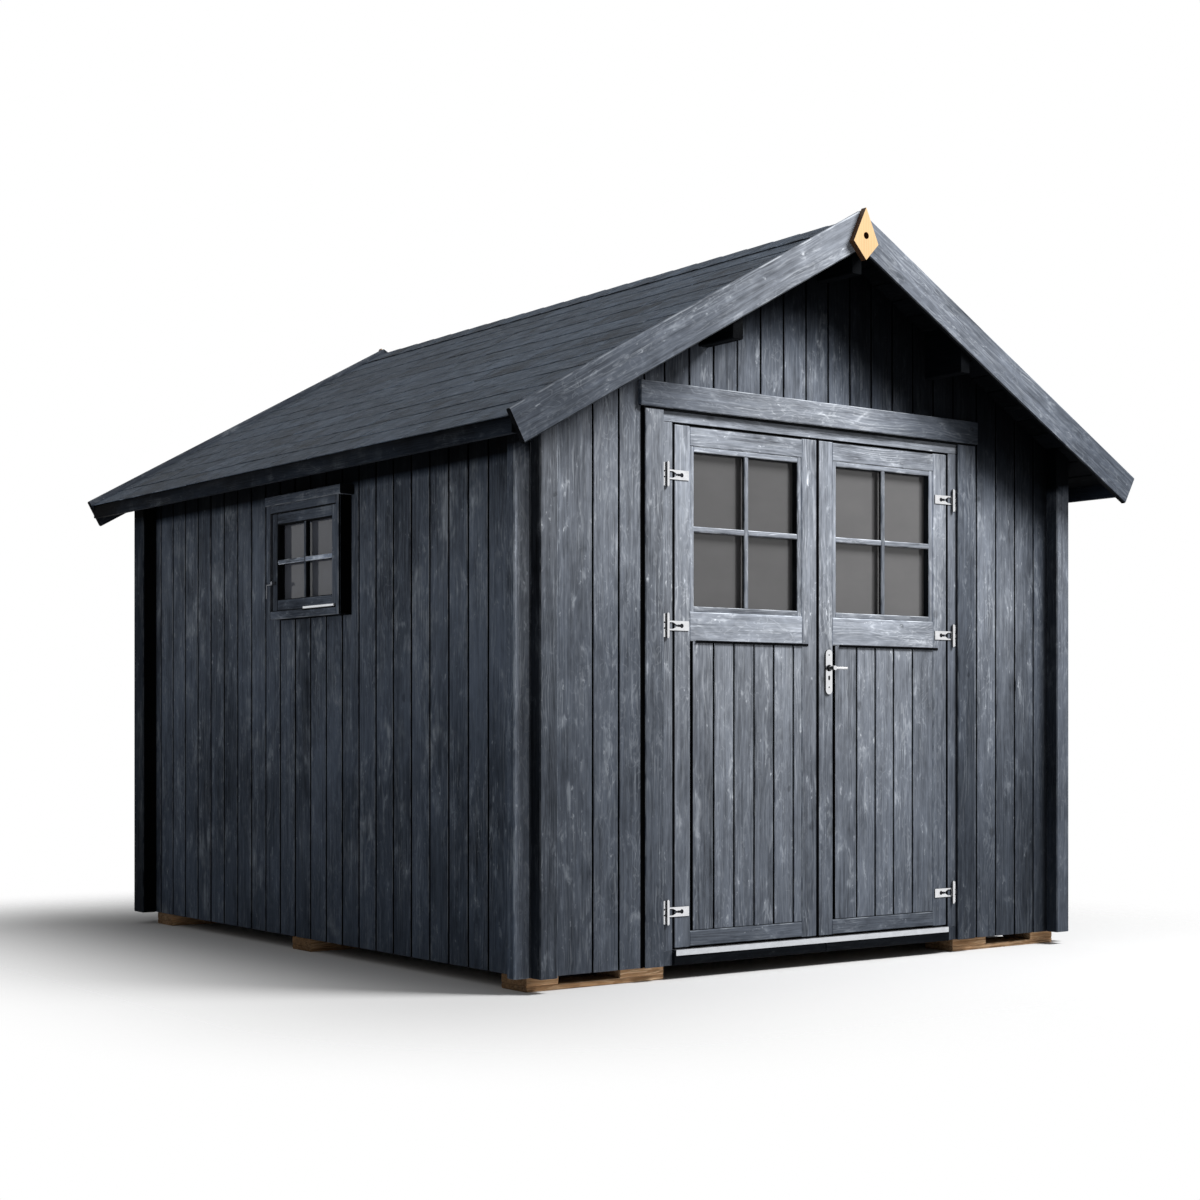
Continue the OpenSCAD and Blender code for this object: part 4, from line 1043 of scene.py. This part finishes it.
handleLook = {"hub": 0.008, "plate": 0.006, "bush": (0.0088, 0.0118), "bushProud": 0.0014, "keyDrop": 0.035,
              "keyHalf": (0.0042, 0.0081), "keySunk": 0.002, "keyClear": 0.0002, "keyCut": (0.003, 0.0004),
              "screwDrops": (0.068, -0.046), "screw": 0.0030, "screwProud": 0.0006, "set": 0.001}
leverLow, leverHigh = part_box("door_lever")
leverX, leverZ = leverLow.x + handleLook["hub"], (leverLow.z + leverHigh.z) / 2
plateY = frontY - handleLook["plate"]
fittings = Timbers("handle_fittings")
fittings.hoop(leverX, leverZ, *handleLook["bush"], plateY - handleLook["bushProud"],
              plateY + handleLook["set"])
keyZ, (keyX, keyTall) = leverZ - handleLook["keyDrop"], handleLook["keyHalf"]
timber(fittings, (leverX - keyX, plateY + handleLook["keySunk"], keyZ - keyTall),
       (leverX + keyX, frontY - handleLook["keyClear"], keyZ + keyTall), "y",
       cut=handleLook["keyCut"][0], endCut=handleLook["keyCut"][1])
for drop in handleLook["screwDrops"]:
    peg(fittings, leverX, leverZ - drop, handleLook["screw"], plateY - handleLook["screwProud"],
        plateY + handleLook["set"])
fittings.build(blackAndShadeFinish, "right_door", "hardware")


# Side window
windowLook = {
    # sides paints the frame's deep box near black as shade; unlit and reveal paint shade on single faces;
    # level paints the level bars far lighter than the uprights as painted light
    "front": 1.85, "sides": 0.05, "sash": 1.8, "trim": 1.75, "level": 6.0, "upright": 1.3,
    "cut": 0.003, "endCut": 0.0004, "bodyCut": 0.001, "bodySet": 0.001, "clear": 0.0003, "face": 0.012,
    "levelBar": 0.017, "uprightBar": 0.012, "barDeep": 0.022, "barSet": 0.002, "levelProud": 0.0006,
    "unlit": 0.04, "reveal": 0.35, "drip": (0.045, 0.47), "dripHigh": (-0.002, 0.007), "dripProud": 0.006,
    "dripCut": 0.0012, "dripShadow": 0.007, "shadowFrom": 0.019, "shadowProud": 0.0008, "shadowDeep": 0.001,
    "shadowCut": 0.0003, "knob": (0.043, 0.138, 0.0065), "knobProud": 0.010, "hook": (0.080, 0.134),
    "hookThick": 0.004, "hookProud": 0.007, "hookIn": 0.002, "hookCut": 0.001,
}


def holeRound(low, high):  # the hole in a ring of timbers for what lies between low and high
    clear = windowLook["clear"]
    return low.z - clear, high.z + clear, low.y - clear, high.y + clear


# Uprights, then level bars
def ringTimbers(store, low, high, inner, tone, cut=windowLook["cut"], reveal=windowLook["unlit"]):
    z0, z1, y0, y1 = inner
    spans = [((low.x, low.y, low.z), (high.x, y0, high.z), "z", (0, 4, 5), windowLook["unlit"]),
             ((low.x, y1, low.z), (high.x, high.y, high.z), "z", (0, 7), reveal),
             ((low.x, y0, low.z), (high.x, y1, z0), "y", (4, 5), windowLook["unlit"]),
             ((low.x, y0, z1), (high.x, y1, high.z), "y", (0, 7), windowLook["unlit"])]
    for a, b, along, dark, unlit in spans:
        timber(store, a, b, along, tone, cut=cut, endCut=windowLook["endCut"],
               shades=shadedSides(*dark, tone=unlit))


def windowTimbers():
    look = windowLook
    sashLow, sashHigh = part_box("window_sash")
    glassLow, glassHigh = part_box("window_glass")
    trimLow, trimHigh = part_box("window_trim")
    window = Timbers("window_timbers")
    opening = holeRound(sashLow, sashHigh)
    edge, inset = frameLow.x + look["face"], look["bodySet"]
    ringTimbers(window, frameLow, Vector((edge, frameHigh.y, frameHigh.z)), opening, look["front"],
                reveal=look["reveal"])
    # the deep box behind the face, painted near black as shade
    bodyLow = Vector((edge, frameLow.y + inset, frameLow.z + inset))
    bodyHigh = Vector((frameHigh.x, frameHigh.y - inset, frameHigh.z - inset))
    ringTimbers(window, bodyLow, bodyHigh, opening, look["sides"], cut=look["bodyCut"], reveal=1.0)
    timber(window, trimLow, trimHigh, "y", look["trim"], cut=look["cut"],
           ends=(look["unlit"], 1.0))
    shadowLow = (frameLow.x - look["shadowProud"], frameLow.y + look["shadowFrom"],
                 sashLow.z - look["dripShadow"])
    shadowHigh = (frameLow.x + look["shadowDeep"], (frameLow.y + frameHigh.y) / 2, sashLow.z)
    timber(window, shadowLow, shadowHigh, "y", look["unlit"], cut=look["shadowCut"])
    window.build(stainFinish, "shed", "stained_trim", "window_frame", "window_trim")

    sash = Timbers("sash_timbers")
    ringTimbers(sash, sashLow, sashHigh, holeRound(glassLow, glassHigh), look["sash"])
    midY, midZ = (glassLow.y + glassHigh.y) / 2, (glassLow.z + glassHigh.z) / 2
    wide, tall = look["uprightBar"] / 2, look["levelBar"] / 2
    # level bars painted far lighter than the uprights as painted light, with painted shade on their sides
    front = sashLow.x + look["barSet"]
    for x0, x1 in ((front, front + look["barDeep"]), (glassHigh.x, sashHigh.x - look["barSet"])):
        timber(sash, (x0, midY - wide, glassLow.z), (x1, midY + wide, glassHigh.z), "z",
               look["upright"], shades=shadedSides(0, 2, 4))
        for y0, y1 in ((glassLow.y, midY - wide), (midY + wide, glassHigh.y)):
            timber(sash, (x0 - look["levelProud"], y0, midZ - tall), (x1, y1, midZ + tall), "y",
                   look["level"], endCut=look["endCut"], shades=shadedSides(0, 2))
    sash.build(stainFinish, "shed", "stained_trim", "window_sash")

    metal = Timbers("window_drip")
    wide = frameHigh.y - frameLow.y
    y0, y1 = (frameLow.y + wide * share for share in look["drip"])
    z0, z1 = (sashLow.z + rise for rise in look["dripHigh"])
    timber(metal, (frameLow.x - look["dripProud"], y0, z0), (sashLow.x, y1, z1), "y",
           cut=look["dripCut"])
    metal.build(stripFinish, "shed", "hardware")
    hook = Timbers("window_hook")
    away, rise, radius = look["knob"]
    knobY, thick, cut = frameHigh.y - away, look["hookThick"], look["hookCut"]
    knob = roundSection(knobY, frameLow.z + rise, radius)
    hook.prism(knob, [0] * len(knob), lambda p, q, a: (a, p, q), frameLow.x - look["knobProud"],
               sashLow.x, cut=cut)
    hookX, hookY = frameLow.x - look["hookProud"], frameHigh.y - look["hookIn"]
    hookLow, hookHigh = (frameLow.z + rise for rise in look["hook"])
    timber(hook, (hookX, hookY, hookLow), (hookX + thick, hookY + thick, hookHigh), "z", cut=cut)
    timber(hook, (hookX, knobY, hookHigh - thick), (hookX + thick, frameHigh.y, hookHigh), "y", cut=cut)
    hook.build(dullFinish, "shed", "hardware")


windowTimbers()
print("side window made")

# Solids of the frame that keep their shape take a finish of their own
ownFinish = {
    "hinge_plates": steelFinish, "left_hinge_straps": steelFinish, "right_hinge_straps": steelFinish,
    "handle_plates": steelFinish, "door_lever": steelFinish, "threshold": stripFinish,
    "left_door_glass": leftPane, "right_door_glass": rightPane, "window_glass": sidePane,
    "ridge_plates": kiteFinish,
}
for name, finish in ownFinish.items():
    nodes[name].data.materials.clear()
    nodes[name].data.materials.append(finish)
print("metal, glass and kite plates finished")


# Studio: pale floor that fades out, white surround, one soft key light
studio = {
    "floor": (0.80, 0.80, 0.80), "floorWide": 12.0, "floorDrop": 0.0005, "stand": (1.25, 1.45, 0.0),
    "fade": (0.0, 1.7), "surround": 0.22, "aim": (0.0, -1.42, 1.35), "keySide": math.radians(38),
    "keyRise": math.radians(47), "keyFar": 6.0, "keySize": 2.5, "keyPower": 560.0,
}


def makeStudio():
    work = bmesh.new()
    bmesh.ops.create_circle(work, cap_ends=True, cap_tris=True, segments=96, radius=studio["floorWide"])
    mesh = bpy.data.meshes.new("studio_floor")
    work.to_mesh(mesh)
    work.free()
    floor = bpy.data.objects.new("studio_floor", mesh)
    bpy.context.scene.collection.objects.link(floor)
    floor.location.z = cadLow.z - studio["floorDrop"]
    material, f = newFinish("pale_floor")
    place = f.node("ShaderNodeTexCoord", output=3)
    outside = f.vector("SUBTRACT", f.vector("ABSOLUTE", place, (0, 0, 0)), studio["stand"])
    away = f.vector("LENGTH", f.vector("MAXIMUM", outside, (0, 0, 0)), (0, 0, 0), 1)
    fade = f.between(away, *studio["fade"])
    matt = f.node("ShaderNodeBsdfDiffuse", {}, {"Color": ink(*studio["floor"])})
    clear = f.node("ShaderNodeBsdfTransparent")
    ground = f.node("ShaderNodeMixShader", {}, {0: fade, 1: matt, 2: clear})
    f.node("ShaderNodeOutputMaterial", {}, {"Surface": ground})
    mesh.materials.append(material)

    world = bpy.data.worlds.new("studio_surround")
    bpy.context.scene.world = world
    world.use_nodes = True
    f = Finish(world.node_tree)
    path = f.node("ShaderNodeLightPath").socket.node.outputs
    seen = [Value(f, path[name]) for name in ("Is Camera Ray", "Is Glossy Ray", "Is Transmission Ray")]
    shown = seen[0].most(seen[1]).most(seen[2])
    strength = studio["surround"] + shown * (1 - studio["surround"])
    light = f.node("ShaderNodeBackground", {}, {"Color": ink(1, 1, 1), "Strength": strength})
    f.node("ShaderNodeOutputWorld", {}, {"Surface": light})

    lamp = bpy.data.lights.new("key_light", "AREA")
    lamp.shape = "DISK"
    lamp.size = studio["keySize"]
    lamp.energy = studio["keyPower"]
    key = bpy.data.objects.new("key_light", lamp)
    bpy.context.scene.collection.objects.link(key)
    rise, turn = studio["keyRise"], studio["keySide"]
    toLight = Vector((math.sin(turn) * math.cos(rise), -math.cos(turn) * math.cos(rise), math.sin(rise)))
    key.location = Vector(studio["aim"]) + toLight * studio["keyFar"]
    key.rotation_euler = toLight.to_track_quat("Z", "Y").to_euler()


makeStudio()

view = {"place": (-4.8841, -6.6760, 0.8555), "turn": math.radians(-36.644), "lens": 60.61, "sensor": 36.0,
        "rise": 0.1025}
lens = bpy.data.cameras.new("photo_camera")
lens.sensor_width = view["sensor"]
lens.sensor_fit = "HORIZONTAL"
lens.lens = view["lens"]
lens.shift_y = view["rise"]
camera = bpy.data.objects.new("photo_camera", lens)
bpy.context.scene.collection.objects.link(camera)
camera.location = view["place"]
camera.rotation_euler = (math.pi / 2, 0.0, view["turn"])
bpy.context.scene.camera = camera
bpy.context.scene.view_settings.view_transform = "Standard"
print("studio and camera set")
